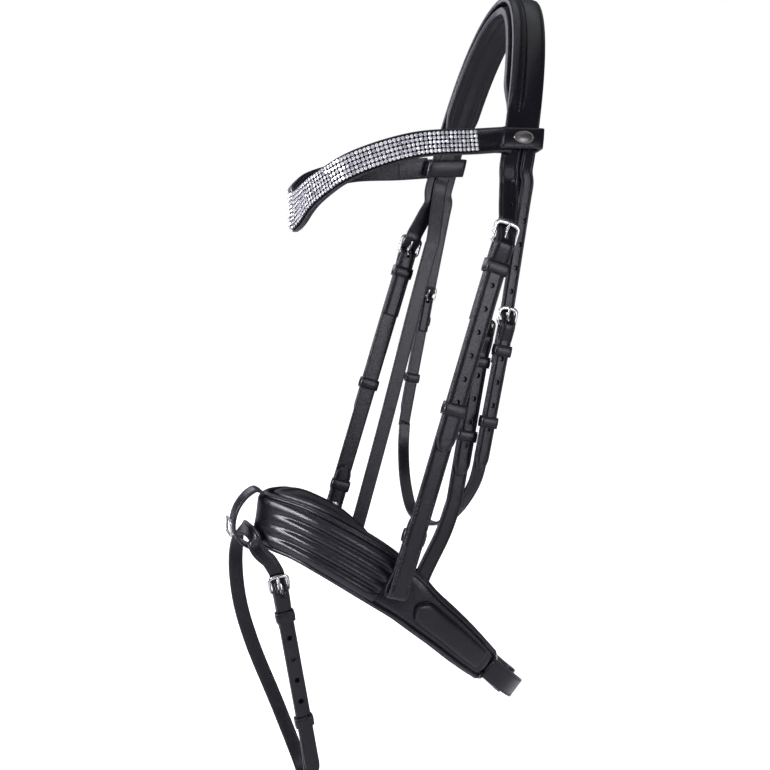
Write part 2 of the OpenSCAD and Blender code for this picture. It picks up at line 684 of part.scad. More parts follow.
throat_buckle(right);  // throat_buckle_right
throat_prong(left);  // throat_prong_left
throat_prong(right);  // throat_prong_right
throat_keeper(left);  // throat_keeper_left
throat_keeper(right);  // throat_keeper_right
throat_runner(left);  // throat_runner_left
throat_runner(right);  // throat_runner_right
noseband();
noseband_front_panel();
noseband_side_panel(left);  // noseband_side_panel_left
noseband_side_panel(right);  // noseband_side_panel_right
noseband_lining();
end_ring(left);  // end_ring_left
end_ring(right);  // end_ring_right
crank_strap();
crank_chape();
crank_buckle();
crank_prong();
crank_runner();
chin_pad();
flash_tab();
flash_tab_dee();
flash_strap();
flash_buckle();
flash_prong();
flash_keeper();
flash_runner();
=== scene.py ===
"""Snaffle bridle: leather, padding, stitching, crystals and metalwork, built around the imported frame.

Shapes are worked in millimetres in the row frame (+X horse's left, -Y forward, +Z up) and
turned into metres when a mesh is made. Every centreline comes from the CAD node it stands for.
"""

import json
import math
import random
import bmesh
import bpy
import numpy as np
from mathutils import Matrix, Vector


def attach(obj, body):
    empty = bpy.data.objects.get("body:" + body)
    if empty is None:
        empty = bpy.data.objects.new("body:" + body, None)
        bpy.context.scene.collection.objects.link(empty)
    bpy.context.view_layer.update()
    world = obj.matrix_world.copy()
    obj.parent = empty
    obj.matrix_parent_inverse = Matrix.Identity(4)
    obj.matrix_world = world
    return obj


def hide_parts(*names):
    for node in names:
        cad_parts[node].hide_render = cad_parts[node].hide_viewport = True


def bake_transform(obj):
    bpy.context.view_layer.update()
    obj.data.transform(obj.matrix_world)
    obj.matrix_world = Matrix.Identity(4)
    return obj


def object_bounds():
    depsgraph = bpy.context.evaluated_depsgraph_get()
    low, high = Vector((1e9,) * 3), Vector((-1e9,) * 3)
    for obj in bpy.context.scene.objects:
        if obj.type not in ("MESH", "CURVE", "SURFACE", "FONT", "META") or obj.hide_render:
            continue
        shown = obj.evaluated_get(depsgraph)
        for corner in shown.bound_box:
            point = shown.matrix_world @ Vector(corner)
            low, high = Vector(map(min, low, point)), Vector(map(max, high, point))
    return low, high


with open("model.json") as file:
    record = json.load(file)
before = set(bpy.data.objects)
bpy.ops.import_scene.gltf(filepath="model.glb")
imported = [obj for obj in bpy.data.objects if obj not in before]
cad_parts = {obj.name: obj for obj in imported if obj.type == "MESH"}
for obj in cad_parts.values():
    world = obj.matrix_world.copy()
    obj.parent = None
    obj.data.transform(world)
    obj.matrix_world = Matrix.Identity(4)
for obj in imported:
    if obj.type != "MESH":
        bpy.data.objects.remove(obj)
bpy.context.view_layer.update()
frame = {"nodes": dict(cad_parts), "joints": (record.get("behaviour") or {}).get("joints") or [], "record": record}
rng = random.Random(11)
JOINT = {j["name"]: j for j in frame["joints"]}
UP = np.array((0.0, 0.0, 1.0))
FRONT = np.array((0.0, -1.0, 0.0))
MM = 1000
EDGE_ANGLE = 48


def unit(v):
    v = np.asarray(v, float)
    return v / np.linalg.norm(v)


def in_scene(obj):
    bpy.context.scene.collection.objects.link(obj)
    return obj


def circle(count):
    """Angles evenly spaced round a full turn."""
    return np.linspace(0, 2 * math.pi, count, endpoint=False)


def node_points(node):
    """Vertices of a CAD node, in mm."""
    return np.array([np.array(v.co) * MM for v in frame["nodes"][node].data.vertices])


def middle_of(points):
    """Middle of the box round some points."""
    return (points.max(0) + points.min(0)) / 2


def ease(x, lo, hi):
    t = np.clip((x - lo) / (hi - lo), 0, 1)
    return t * t * (3 - 2 * t)


# ---------------------------------------------------------------- materials
def new_material(name):
    mat = bpy.data.materials.new(name)
    mat.use_nodes = True
    tree = mat.node_tree
    shader = tree.nodes["Principled BSDF"]
    coords = tree.nodes.new("ShaderNodeTexCoord").outputs["Object"]
    return mat, tree, shader, coords


def texture(tree, kind, coords, **inputs):
    node = tree.nodes.new(kind)
    tree.links.new(coords, node.inputs["Vector"])
    for key, value in inputs.items():
        node.inputs[key.replace("_", " ")].default_value = value
    return node


def stretched(tree, coords, scale):
    node = tree.nodes.new("ShaderNodeMapping")
    node.inputs["Scale"].default_value = scale
    tree.links.new(coords, node.inputs["Vector"])
    return node.outputs["Vector"]


def math_node(tree, op, a, b):
    node = tree.nodes.new("ShaderNodeMath")
    node.operation = op
    for socket, value in zip(node.inputs, (a, b)):
        if isinstance(value, (int, float)):
            socket.default_value = value
        else:
            tree.links.new(value, socket)
    return node.outputs[0]


def ranged(tree, value, lo, hi, to_lo, to_hi):
    node = tree.nodes.new("ShaderNodeMapRange")
    tree.links.new(value, node.inputs["Value"])
    for key, number in zip(("From Min", "From Max", "To Min", "To Max"), (lo, hi, to_lo, to_hi)):
        node.inputs[key].default_value = number
    return node.outputs["Result"]


def mixed(tree, factor, a, b):
    node = tree.nodes.new("ShaderNodeMix")
    node.data_type = "RGBA"
    tree.links.new(factor, node.inputs["Factor"])
    for key, value in (("A", a), ("B", b)):
        socket = [s for s in node.inputs if s.name == key and s.type == "RGBA"][0]
        if isinstance(value, tuple):
            socket.default_value = (*value, 1)
        else:
            tree.links.new(value, socket)
    return [s for s in node.outputs if s.type == "RGBA"][0]


def bumped(tree, shader, heights):
    normal = None
    for height, strength, distance in heights:
        node = tree.nodes.new("ShaderNodeBump")
        node.inputs["Strength"].default_value = strength
        node.inputs["Distance"].default_value = distance
        tree.links.new(height, node.inputs["Height"])
        if normal is not None:
            tree.links.new(normal, node.inputs["Normal"])
        normal = node.outputs["Normal"]
    tree.links.new(normal, shader.inputs["Normal"])


def leather(name, dark, light, worn, rough, grain, sheen):
    """Dyed leather: fine pebbled grain, soft colour drift, burnished and slightly worn edges."""
    mat, tree, shader, coords = new_material(name)
    drift = texture(tree, "ShaderNodeTexNoise", coords, Scale=28.0, Detail=4.0).outputs[0]
    pores = texture(tree, "ShaderNodeTexVoronoi", coords, Scale=grain).outputs["Distance"]
    fine = texture(tree, "ShaderNodeTexNoise", coords, Scale=grain * 1.9, Detail=3.0).outputs[0]
    creases = texture(tree, "ShaderNodeTexNoise", coords, Scale=150.0, Detail=2.0).outputs[0]
    edge = tree.nodes.new("ShaderNodeAttribute")
    edge.attribute_name = "edge"
    rub = texture(tree, "ShaderNodeTexNoise", coords, Scale=240.0, Detail=5.0).outputs[0]
    wear = math_node(tree, "MULTIPLY", edge.outputs["Fac"], ranged(tree, rub, 0.42, 0.75, 0.12, 0.8))
    tone = mixed(tree, ranged(tree, drift, 0.3, 0.7, 0, 1), dark, light)
    tree.links.new(mixed(tree, wear, tone, worn), shader.inputs["Base Color"])
    base_rough = ranged(tree, fine, 0.3, 0.7, rough - 0.05, rough + 0.07)
    tree.links.new(math_node(tree, "ADD", base_rough, math_node(tree, "MULTIPLY", wear, 0.15)),
                   shader.inputs["Roughness"])
    shader.inputs["Sheen Weight"].default_value = sheen
    shader.inputs["Sheen Roughness"].default_value = 0.45
    shader.inputs["Sheen Tint"].default_value = (0.72, 0.74, 0.9, 1)
    shader.inputs["Specular IOR Level"].default_value = 0.36
    bumped(tree, shader, [(creases, 0.25, 0.0006), (pores, 0.35, 0.00018), (fine, 0.3, 0.00008)])
    return mat


def metal(name, colour, rough, scratch):
    """Polished nickel-plated steel with fine brushing, faint tarnish and hairline scratches."""
    mat, tree, shader, coords = new_material(name)
    tarnish = texture(tree, "ShaderNodeTexNoise", coords, Scale=90.0, Detail=4.0).outputs[0]
    hair = texture(tree, "ShaderNodeTexNoise", stretched(tree, coords, (1, 1, 9)), Scale=700.0,
                   Detail=2.0).outputs[0]
    dull = tuple(c * 0.72 for c in colour)
    tree.links.new(mixed(tree, ranged(tree, tarnish, 0.35, 0.8, 0, 0.7), colour, dull),
                   shader.inputs["Base Color"])
    shader.inputs["Metallic"].default_value = 1
    tree.links.new(ranged(tree, tarnish, 0.3, 0.75, rough, rough + 0.16), shader.inputs["Roughness"])
    bumped(tree, shader, [(hair, scratch, 0.00005)])
    return mat


def crystal_glass(name):
    """Foil-backed glass: each stone takes its own random brightness from the stone attribute, plus a painted glow
    (white emission) that grows with it and stands in for glints of light on the facets.
    """
    mat, tree, shader, coords = new_material(name)
    stone = tree.nodes.new("ShaderNodeAttribute")
    stone.attribute_name = "stone"
    cloud = texture(tree, "ShaderNodeTexNoise", coords, Scale=400.0, Detail=1.0).outputs[0]
    tint = mixed(tree, stone.outputs["Fac"], (0.50, 0.50, 0.56), (1.0, 0.99, 1.0))
    tree.links.new(mixed(tree, ranged(tree, cloud, 0.4, 0.8, 0, 0.25), tint, (0.8, 0.83, 0.95)),
                   shader.inputs["Base Color"])
    shader.inputs["Metallic"].default_value = 0.72
    tree.links.new(ranged(tree, cloud, 0.2, 0.8, 0.03, 0.12), shader.inputs["Roughness"])
    shader.inputs["Coat Weight"].default_value = 1.0
    shader.inputs["Coat Roughness"].default_value = 0.02
    # Painted glow: white emission, stronger on the brighter stones, stands in for light glinting off the facets.
    shader.inputs["Emission Color"].default_value = (1, 1, 1, 1)
    tree.links.new(ranged(tree, stone.outputs["Fac"], 0, 1, 0.0, 0.22), shader.inputs["Emission Strength"])
    return mat


def thread_material(name, dark, light):
    """Waxed linen thread: twisted strands and a dull shine."""
    mat, tree, shader, coords = new_material(name)
    twist = texture(tree, "ShaderNodeTexWave", coords, Scale=900.0, Distortion=2.0).outputs["Fac"]
    tree.links.new(mixed(tree, twist, dark, light), shader.inputs["Base Color"])
    tree.links.new(ranged(tree, twist, 0, 1, 0.45, 0.65), shader.inputs["Roughness"])
    bumped(tree, shader, [(twist, 0.6, 0.0001)])
    return mat


def plaster(name, colour):
    """Pale studio floor with a barely visible mottling, as bright to the camera as the air behind it."""
    mat, tree, shader, coords = new_material(name)
    mottle = texture(tree, "ShaderNodeTexNoise", coords, Scale=3.0, Detail=5.0).outputs[0]
    pale = tuple(min(1.0, c * 1.04) for c in colour)
    tree.links.new(mixed(tree, mottle, colour, pale), shader.inputs["Base Color"])
    shader.inputs["Roughness"].default_value = 0.85
    bumped(tree, shader, [(mottle, 0.05, 0.001)])
    paths = tree.nodes.new("ShaderNodeLightPath")
    tree.links.new(paths.outputs["Is Camera Ray"], shader.inputs["Emission Strength"])
    shader.inputs["Emission Color"].default_value = (*colour, 1)
    return mat


STRAP = leather("strap_leather", (0.0025, 0.0025, 0.0042), (0.0060, 0.0060, 0.0095),
                (0.030, 0.028, 0.036), 0.25, 1500.0, 0.03)
SOFT = leather("soft_padding_leather", (0.0030, 0.0030, 0.0045), (0.0065, 0.0065, 0.0095),
               (0.020, 0.019, 0.025), 0.33, 1100.0, 0.05)
NICKEL = metal("polished_nickel", (0.58, 0.575, 0.56), 0.16, 0.3)
SILVER = metal("silver_cups", (0.45, 0.45, 0.47), 0.3, 0.2)
AGED = metal("aged_stud", (0.22, 0.21, 0.20), 0.3, 0.5)
GLASS = crystal_glass("foiled_crystal_painted_glow")
THREAD = thread_material("waxed_thread", (0.020, 0.020, 0.026), (0.060, 0.060, 0.072))
LEATHERS = [STRAP, THREAD]
PADS = [SOFT, THREAD]


# ---------------------------------------------------------------- meshes
class Shape:
    """Vertices, faces, a material index a face, and the edge-wear value of each vertex."""

    def __init__(self):
        self.points, self.faces, self.slots, self.values = [], [], [], []

    def add(self, points, faces, slot=0, values=None):
        start = sum(len(p) for p in self.points)
        points = np.asarray(points, float)
        self.points.append(points)
        self.faces += [tuple(i + start for i in f) for f in faces]
        self.slots += [slot] * len(faces)
        self.values.append(np.zeros(len(points)) if values is None else np.asarray(values, float))
        return self

    def build(self, name, materials, attribute="edge", sharp=EDGE_ANGLE):
        mesh = bpy.data.meshes.new(name)
        mesh.from_pydata((np.vstack(self.points) / MM).tolist(), [], self.faces)
        for mat in materials:
            mesh.materials.append(mat)
        mesh.polygons.foreach_set("material_index", self.slots)
        mesh.polygons.foreach_set("use_smooth", [True] * len(self.faces))
        layer = mesh.attributes.new(attribute, "FLOAT", "POINT")
        layer.data.foreach_set("value", np.concatenate(self.values).astype(np.float32))
        work = bmesh.new()
        work.from_mesh(mesh)
        bmesh.ops.recalc_face_normals(work, faces=work.faces)
        work.to_mesh(mesh)
        work.free()
        mesh.set_sharp_from_angle(angle=math.radians(sharp))
        return in_scene(bpy.data.objects.new(name, mesh))


def skin(rings, closed=False):
    """Faces over rings of points, each ring a closed loop; the ends are capped unless closed."""
    n, k = len(rings), len(rings[0])
    points = np.asarray(rings, float).reshape(-1, 3)
    faces = []
    for i in range(n if closed else n - 1):
        a, b = i * k, (i + 1) % n * k
        faces += [(a + j, a + (j + 1) % k, b + (j + 1) % k, b + j) for j in range(k)]
    if not closed:
        for ring, base in ((rings[0], 0), (rings[-1], (n - 1) * k)):
            centre = len(points)
            points = np.vstack([points, np.mean(ring, 0)])
            faces += [(base + j, base + (j + 1) % k, centre) for j in range(k)]
    return points, faces


def applied(obj, kind, **settings):
    """Adds a modifier, applies it to the mesh, and returns the object."""
    modifier = obj.modifiers.new(kind.lower(), kind)
    for key, value in settings.items():
        setattr(modifier, key, value)
    bpy.context.view_layer.update()
    mesh = bpy.data.meshes.new_from_object(obj.evaluated_get(bpy.context.evaluated_depsgraph_get()))
    obj.modifiers.clear()
    old, obj.data = obj.data, mesh
    bpy.data.meshes.remove(old)
    return obj


def finish_piece(obj, nodes=(), body=None, bend=None):
    if nodes:
        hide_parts(*nodes)
    if bend:
        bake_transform(obj)
    else:
        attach(obj, body)
    return obj


# ---------------------------------------------------------------- reading the CAD nodes
def welded(node):
    work = bmesh.new()
    work.from_mesh(frame["nodes"][node].data)
    bmesh.ops.remove_doubles(work, verts=work.verts, dist=5e-6)
    work.verts.ensure_lookup_table()
    work.edges.ensure_lookup_table()
    return work


def sharp_chains(node, limit=60, through=False):
    """(chains of points between corners, vertex groups of the sharp edges) of a node's mesh.
    Chains end at every branching vertex, or run straight through it if told to."""
    work = welded(node)
    at = np.array([v.co for v in work.verts]) * MM
    links = {}
    for e in work.edges:
        if len(e.link_faces) == 2 and e.calc_face_angle(0) > math.radians(limit):
            a, b = (v.index for v in e.verts)
            links.setdefault(a, set()).add(b)
            links.setdefault(b, set()).add(a)
    work.free()
    onward = {}
    for v, near in links.items():
        turns = [(-(unit(at[v] - at[a]) @ unit(at[b] - at[v])), a, b) for a in near for b in near if a < b]
        for turn, a, b in sorted(turns):
            straight = turn < -0.5 if through else len(near) == 2
            if straight and (v, a) not in onward and (v, b) not in onward:
                onward[v, a], onward[v, b] = b, a
    chains = []
    for v in sorted(links):
        for a in sorted(links[v]):
            if (v, a) in onward:
                continue
            chain = [v, a]
            while (chain[-1], chain[-2]) in onward:
                chain.append(onward[chain[-1], chain[-2]])
            if chain <= chain[::-1]:
                chains.append(at[chain])
    groups, seen = [], set()
    for start in sorted(links):
        if start in seen:
            continue
        group, queue = [], [start]
        seen.add(start)
        while queue:
            v = queue.pop()
            group.append(v)
            for near in sorted(links[v] - seen):
                seen.add(near)
                queue.append(near)
        groups.append(at[group])
    return chains, groups


def chain_length(chain):
    return np.linalg.norm(np.diff(chain, axis=0), axis=1).sum()


def arc(points):
    return np.concatenate([[0], np.cumsum(np.linalg.norm(np.diff(points, axis=0), axis=1))])


def follow(chain, guide):
    """The point of chain beside each point of guide, looking only near the same share of its length."""
    s, g = arc(chain), arc(guide)
    fine = np.linspace(0, s[-1], max(200, int(s[-1] * 4)))
    dense = np.stack([np.interp(fine, s, chain[:, k]) for k in range(3)], 1)
    out = []
    for point, share in zip(guide, g / g[-1]):
        near = np.abs(fine / s[-1] - share) < 14 / s[-1] + 0.01
        options = dense[near]
        out.append(options[np.argmin(np.linalg.norm(options - point, axis=1))])
    out[0], out[-1] = chain[0], chain[-1]
    return np.array(out)


def head_axis(points):
    """Points on the line through the middle of the horse's head, level with each given point."""
    z = np.minimum(points[:, 2], -110)
    return np.stack([np.zeros(len(z)), -50 + (z + 110) * 0.2, z], 1)


class Strip:
    """A strap's line: centres, width direction a, outward normal n, width and thickness."""

    def __init__(self, c, a, n, width, thick):
        self.c, self.a, self.n = (np.asarray(v, float) for v in (c, a, n))
        self.width = np.broadcast_to(np.asarray(width, float), len(self.c)).copy()
        self.thick = np.broadcast_to(np.asarray(thick, float), len(self.c)).copy()

    def __len__(self):
        return len(self.c)

    def take(self, keep):
        return Strip(self.c[keep], self.a[keep], self.n[keep], self.width[keep], self.thick[keep])

    def flipped(self):
        return self.take(slice(None, None, -1))

    def from_end(self, point):
        """The same line, starting at the end nearer to point."""
        near = np.linalg.norm(self.c[[0, -1]] - np.asarray(point), axis=1)
        return self if near[0] <= near[1] else self.flipped()

    def plus(self, other):
        both = [np.concatenate(pair) for pair in zip(self.parts(), other.parts())]
        return Strip(*both)

    def parts(self):
        return self.c, self.a, self.n, self.width, self.thick

    def facing(self, a, n, i=0):
        """The same line, its width direction and normal turned to agree with a and n at station i."""
        self.a = -self.a if self.a[i] @ a < 0 else self.a
        self.n = -self.n if self.n[i] @ n < 0 else self.n
        return self

    def moved(self, rise=0.0, side=0.0, width=None, thick=None):
        c = self.c + self.n * rise + self.a * side
        return Strip(c, self.a, self.n, self.width if width is None else width,
                     self.thick if thick is None else thick)

    def smooth(self, step=2.5, turn=12):
        """Catmull-Rom through the stations, dense where the line bends, with frames squared up."""
        c = self.c
        last = len(c) - 1
        columns = np.hstack([self.c, self.a, self.n, self.width[:, None], self.thick[:, None]])
        rows = []
        for i in range(last):
            p = [columns[max(i - 1, 0)], columns[i], columns[i + 1], columns[min(i + 2, last)]]
            gap = np.linalg.norm(c[i + 1] - c[i])
            d0 = unit(p[2][:3] - p[0][:3])
            d1 = unit(p[3][:3] - p[1][:3])
            bend = math.degrees(math.acos(float(np.clip(d0 @ d1, -1, 1))))
            count = max(1, math.ceil(gap / step), math.ceil(bend / turn))
            for k in range(count):
                t = k / count
                row = 0.5 * (2 * p[1] + (p[2] - p[0]) * t + (2 * p[0] - 5 * p[1] + 4 * p[2] - p[3]) * t * t
                             + (3 * p[1] - p[0] - 3 * p[2] + p[3]) * t ** 3)
                rows.append(row)
        rows.append(columns[last])
        rows = np.array(rows)
        out = Strip(rows[:, :3], rows[:, 3:6], rows[:, 6:9], rows[:, 9], rows[:, 10])
        t = out.tangents()
        a = out.a - (out.a * t).sum(1)[:, None] * t
        out.a = a / np.linalg.norm(a, axis=1)[:, None]
        n = np.cross(t, out.a)
        out.n = n * np.sign((n * out.n).sum(1))[:, None]
        return out

    def tangents(self):
        t = np.empty_like(self.c)
        t[1:-1] = self.c[2:] - self.c[:-2]
        t[0], t[-1] = self.c[1] - self.c[0], self.c[-1] - self.c[-2]
        return t / np.linalg.norm(t, axis=1)[:, None]

    def length(self):
        return arc(self.c)


def knitted(chains):
    """Chains joined end to end where one stops and another runs on in nearly the same direction."""
    chains = [c for c in chains if chain_length(c) > 8]
    while True:
        best = None
        for i, first in enumerate(chains):
            for j, second in enumerate(chains):
                for x in (first, first[::-1]):
                    for y in (second, second[::-1]):
                        gap = y[0] - x[-1]
                        size = np.linalg.norm(gap)
                        if i == j or size > 4 or unit(x[-1] - x[-2]) @ unit(y[1] - y[0]) < 0.2:
                            continue
                        if (size < 0.05 or gap @ (x[-1] - x[-2]) > 0) and (best is None or size < best[0]):
                            best = (size, i, j, x, y)
        if best is None:
            return chains
        size, i, j, x, y = best
        chains = [c for k, c in enumerate(chains) if k not in (i, j)]
        chains.append(np.concatenate([x, y if size > 0.05 else y[1:]]))


def evenness(line):
    """Length of line that keeps nearly its own width and thickness, less three times the rest."""
    even = np.ones(len(line), bool)
    for size in (line.width, line.thick):
        even &= np.abs(size / np.median(size) - 1) < 0.6
    return (np.gradient(line.length()) * np.where(even, 1, -3)).sum()


def railed(rails):
    """The strip that runs between four rails."""
    guide = max(rails, key=len)
    rest = []
    for rail in rails:
        if rail is guide:
            continue
        if np.linalg.norm(rail[0] - guide[0]) > np.linalg.norm(rail[-1] - guide[0]):
            rail = rail[::-1]
        rest.append(rail if len(rail) == len(guide) else follow(rail, guide))
    rest.sort(key=lambda r: np.median(np.linalg.norm(r - guide, axis=1)))
    under, beside, across = rest
    c = (guide + under + beside + across) / 4
    a = (guide + under - beside - across) / 2
    n = (guide + beside - under - across) / 2
    width, thick = np.linalg.norm(a, axis=1), np.linalg.norm(n, axis=1)
    width, thick = np.maximum(width, 0.01), np.maximum(thick, 0.01)
    return Strip(c, a / width[:, None], n / thick[:, None], width, thick)


def strip(node, toward=FRONT):
    """Recovers a swept strap's line from the four long sharp edges of its CAD node."""
    best = None
    for mend in (False, True):
        for through in (False, True):
            for limit in (52, 58, 64, 70, 76):
                chains, groups = sharp_chains(node, limit, through)
                rails = sorted(knitted(chains) if mend else chains, key=chain_length)[-4:]
                if len(rails) < 4 or chain_length(rails[0]) < 0.8 * chain_length(rails[3]):
                    continue
                line = railed(rails)
                score = evenness(line)
                if best is None or score > best[0] * 1.01:
                    best = (score, line, groups)
        if best and best[0] > 0.75 * best[1].length()[-1]:
            break
    if best is None:
        raise ValueError(f"{node}: no four long edges")
    _, line, groups = best
    weight = np.gradient(line.length())
    if ((line.a @ toward) * weight).sum() < 0:
        line.a = -line.a
    if (((line.n * (line.c - head_axis(line.c))).sum(1)) * weight).sum() < 0:
        line.n = -line.n
    line.groups = groups
    return line


class Place:
    """The frame of a buckle's heel bar: x outward, y along the bar, z up the strap."""

    def __init__(self, joint, runner):
        self.o = np.array(JOINT[joint]["pos_m"]) * MM
        self.y = unit(JOINT[joint]["axis"])
        self.z = unit(JOINT[runner]["axis"])
        self.x = np.cross(self.y, self.z)

    def local(self, points):
        return (np.asarray(points) - self.o) @ np.stack([self.x, self.y, self.z]).T

    def world(self, points):
        return np.asarray(points) @ np.stack([self.x, self.y, self.z]) + self.o

    def node_points(self, node):
        return self.local(node_points(node))

    def box(self, node):
        points = self.node_points(node)
        return points.min(0), points.max(0)

    def run(self, stations, width, thick):
        """Strip through (x, z) stations in the plane across the bar; its normal points out of turns."""
        flat = np.array(stations, float)
        c = self.world(np.stack([flat[:, 0], np.zeros(len(flat)), flat[:, 1]], 1))
        line = Strip(c, np.tile(self.y, (len(c), 1)), np.tile(self.x, (len(c), 1)), width, thick)
        t = line.tangents()
        line.n = np.cross(t, line.a)
        return line


def principal(node, side=None):
    """(centre, long, middle and short directions, half sizes) of a node, or of its half at one side."""
    points = node_points(node)
    if side:
        points = points[points[:, 0] * side > 0]
    points = np.unique(np.round(points, 3), axis=0)
    centre = middle_of(points)
    _, _, axes = np.linalg.svd(points - points.mean(0), full_matrices=False)
    local = (points - centre) @ axes.T
    spread = (local.max(0) - local.min(0)) / 2
    centre = centre + middle_of(local) @ axes
    order = np.argsort(-spread)
    return centre, axes[order], spread[order]


# ---------------------------------------------------------------- sections
def corner(sa, sb, r, start, steps=4):
    out = []
    for k in range(steps):
        angle = math.radians(start + 90 * k / (steps - 1))
        out.append((sa, -sa * r + r * math.cos(angle), sb, -sb * r + r * math.sin(angle), 1.0))
    return out


def flat_underside(r):
    """The rest of a section, from its second upper corner round to its first lower one."""
    return corner(-1, 1, r, 90) + corner(-1, -1, r, 180) + [(0, 0, -1, 0, 0)] + corner(1, -1, r, 270)


def strap_section(r=0.6, inset=1.9, depth=0.28, crown=0.15):
    """Section of a dressed strap: rounded edges, a crease line by each edge, a slight crown."""
    top = [(1, -inset + 0.45, 1, 0.0, 0.25), (1, -inset, 1, -depth, 0), (1, -inset - 0.45, 1, 0.05, 0.1),
           (0.45, 0, 1, crown * 0.8, 0), (0, 0, 1, crown, 0), (-0.45, 0, 1, crown * 0.8, 0),
           (-1, inset + 0.45, 1, 0.05, 0.1), (-1, inset, 1, -depth, 0), (-1, inset - 0.45, 1, 0.0, 0.25)]
    under = [(-1, 2.2, -1, 0, 0.2), (0, 0, -1, 0, 0), (1, -2.2, -1, 0, 0.2)]
    return (corner(1, 1, r, 0) + top + corner(-1, 1, r, 90) + corner(-1, -1, r, 180) + under
            + corner(1, -1, r, 270))


def loft(line, section, shift=None):
    """Rings of a section along a strip. shift(i, share, up) adds a rise to each point, in mm."""
    rings, values = [], []
    t = line.tangents()
    reach = max(abs(s[1]) for s in section)
    last = len(line) - 1
    spans = [(0, -0.35, 0.8)] + [(i, 0, 1.0) for i in range(last + 1)] + [(last, 0.35, 0.8)]
    for i, ahead, scale in spans:
        half, thick = line.width[i] / 2, line.thick[i] / 2
        tight = min(1.0, half / (reach + 0.6))
        ring = []
        for sa, oa, sb, ob, _ in section:
            across = (sa * half + oa * tight) * (scale if ahead else 1)
            rise = (sb * thick + ob * (1 if tight > 0.6 else tight)) * scale
            if shift is not None:
                rise += shift(i, across / half, sb) * scale
            ring.append(line.c[i] + line.a[i] * across + line.n[i] * rise + t[i] * ahead)
        rings.append(ring)
        values.append([s[4] for s in section])
    points, faces = skin(rings)
    return points, faces, np.concatenate([np.ravel(values), [1.0, 1.0]])


def stitches(shape, line, side, inset, rise, start=0.0, end=0.0, pitch=3.4):
    """A row of saddle stitches at inset from one edge; start and end are trimmed lengths."""
    thread = 0.3
    s = line.length()
    if s[-1] - start - end < pitch:
        return
    spots = np.arange(start + pitch / 2, s[-1] - end, pitch)
    t = line.tangents()
    columns = np.hstack([line.c, line.a, line.n, t, line.width[:, None], line.thick[:, None]])
    rows = np.stack([np.interp(spots, s, columns[:, k]) for k in range(columns.shape[1])], 1)
    stations = [(-0.5, 0.25), (-0.4, 0.8), (-0.15, 1.0), (0.15, 1.0), (0.4, 0.8), (0.5, 0.25)]
    half = pitch * 0.40
    for row in rows:
        a, n, d = unit(row[3:6]), unit(row[6:9]), unit(row[9:12])
        width, thick = row[12], row[13]
        if width / 2 - inset < 0.8:
            continue
        lean = unit(d + a * 0.16 * side)
        cross = np.cross(n, lean)
        centre = row[:3] + a * side * (width / 2 - inset) + n * (np.sign(rise) * thick / 2 + rise)
        rings = []
        for share, swell in stations:
            sink = -0.22 * thread * (abs(share) > 0.3)
            middle = centre + lean * share * 2 * half + n * sink
            rings.append([middle + thread * swell * (math.cos(w) * cross + 0.8 * math.sin(w) * n)
                          for w in circle(6)])
        shape.add(*skin(rings), 1)


def trimmed(line, start=0.0, end=0.0):
    s = line.length()
    keep = (s >= start) & (s <= s[-1] - end)
    return line.take(keep)


# ---------------------------------------------------------------- holes and slots
def punched(obj, line, groups):
    """Cuts the strap's punched holes and prong slot: one cutter for each closed set of sharp edges."""
    longest, apart, depth, flare, floor_left = 16.0, 5, 4.0, 0.45, 0.35
    cutter, used = Shape(), []
    for group in groups:
        centre = middle_of(group)
        i = int(np.argmin(np.linalg.norm(line.c - centre, axis=1)))
        t, a, n = line.tangents()[i], line.a[i], line.n[i]
        local = (group - centre) @ np.stack([t, a, n]).T
        size = (local.max(0) - local.min(0)) / 2
        if max(size[:2]) * 2 > longest or any(np.linalg.norm(centre - u) < apart for u in used):
            continue
        used.append(centre)
        radius = max(0.8, min(size[:2]))
        reach = max(0.0, size[0] - radius)
        rings = []
        half = line.thick[i] / 2
        floor = -half + floor_left if max(size[:2]) < 4 else -depth
        middle = centre - n * ((centre - line.c[i]) @ n)
        for rise, grow in ((floor, 0), (0.1, 0), (half - 0.25, 0), (half + 0.35, flare), (depth, flare)):
            loop = []
            for w in circle(20):
                along = (radius + grow) * math.cos(w) + reach * np.sign(math.cos(w))
                loop.append(middle + t * along + a * (radius + grow) * math.sin(w) + n * rise)
            rings.append(loop)
        cutter.add(*skin(rings))
    return subtract(obj, cutter)


def subtract(obj, cutter):
    """Cuts the cutter out of obj; a cut that destroys the mesh is undone and tried another way."""
    if not cutter.points:
        return obj
    tool = cutter.build(obj.name + "_cutter", [STRAP])
    whole = obj.data.copy()
    for own in (False, True):
        applied(obj, "BOOLEAN", operation="DIFFERENCE", object=tool, solver="EXACT", use_self=own)
        if len(obj.data.vertices) > 0.9 * len(whole.vertices):
            break
        obj.data = whole.copy()
    mesh = tool.data
    bpy.data.objects.remove(tool)
    bpy.data.meshes.remove(mesh)
    obj.data.set_sharp_from_angle(angle=math.radians(EDGE_ANGLE))
    return obj


def box_cutter(place, lo, hi):
    rings = [[(x, y, z) for x, y in ((lo[0], lo[1]), (hi[0], lo[1]), (hi[0], hi[1]), (lo[0], hi[1]))]
             for z in (lo[2], hi[2])]
    points, faces = skin(rings)
    return Shape().add(place.world(points), faces)


def joined(obj, other):
    """Adds another object's mesh to obj, keeping the wear values and the materials."""
    bpy.ops.object.select_all(action="DESELECT")
    other.select_set(True)
    obj.select_set(True)
    bpy.context.view_layer.objects.active = obj
    bpy.ops.object.join()
    return obj


def stitched(obj, rows, mats, extra=None):
    """obj with its stitch rows, and any extra leather, joined on."""
    seams = Shape()
    for row in rows:
        stitches(seams, *row)
    if extra:
        extra(seams)
    if seams.points:
        joined(obj, seams.build(obj.name + "_thread", mats))
    return obj


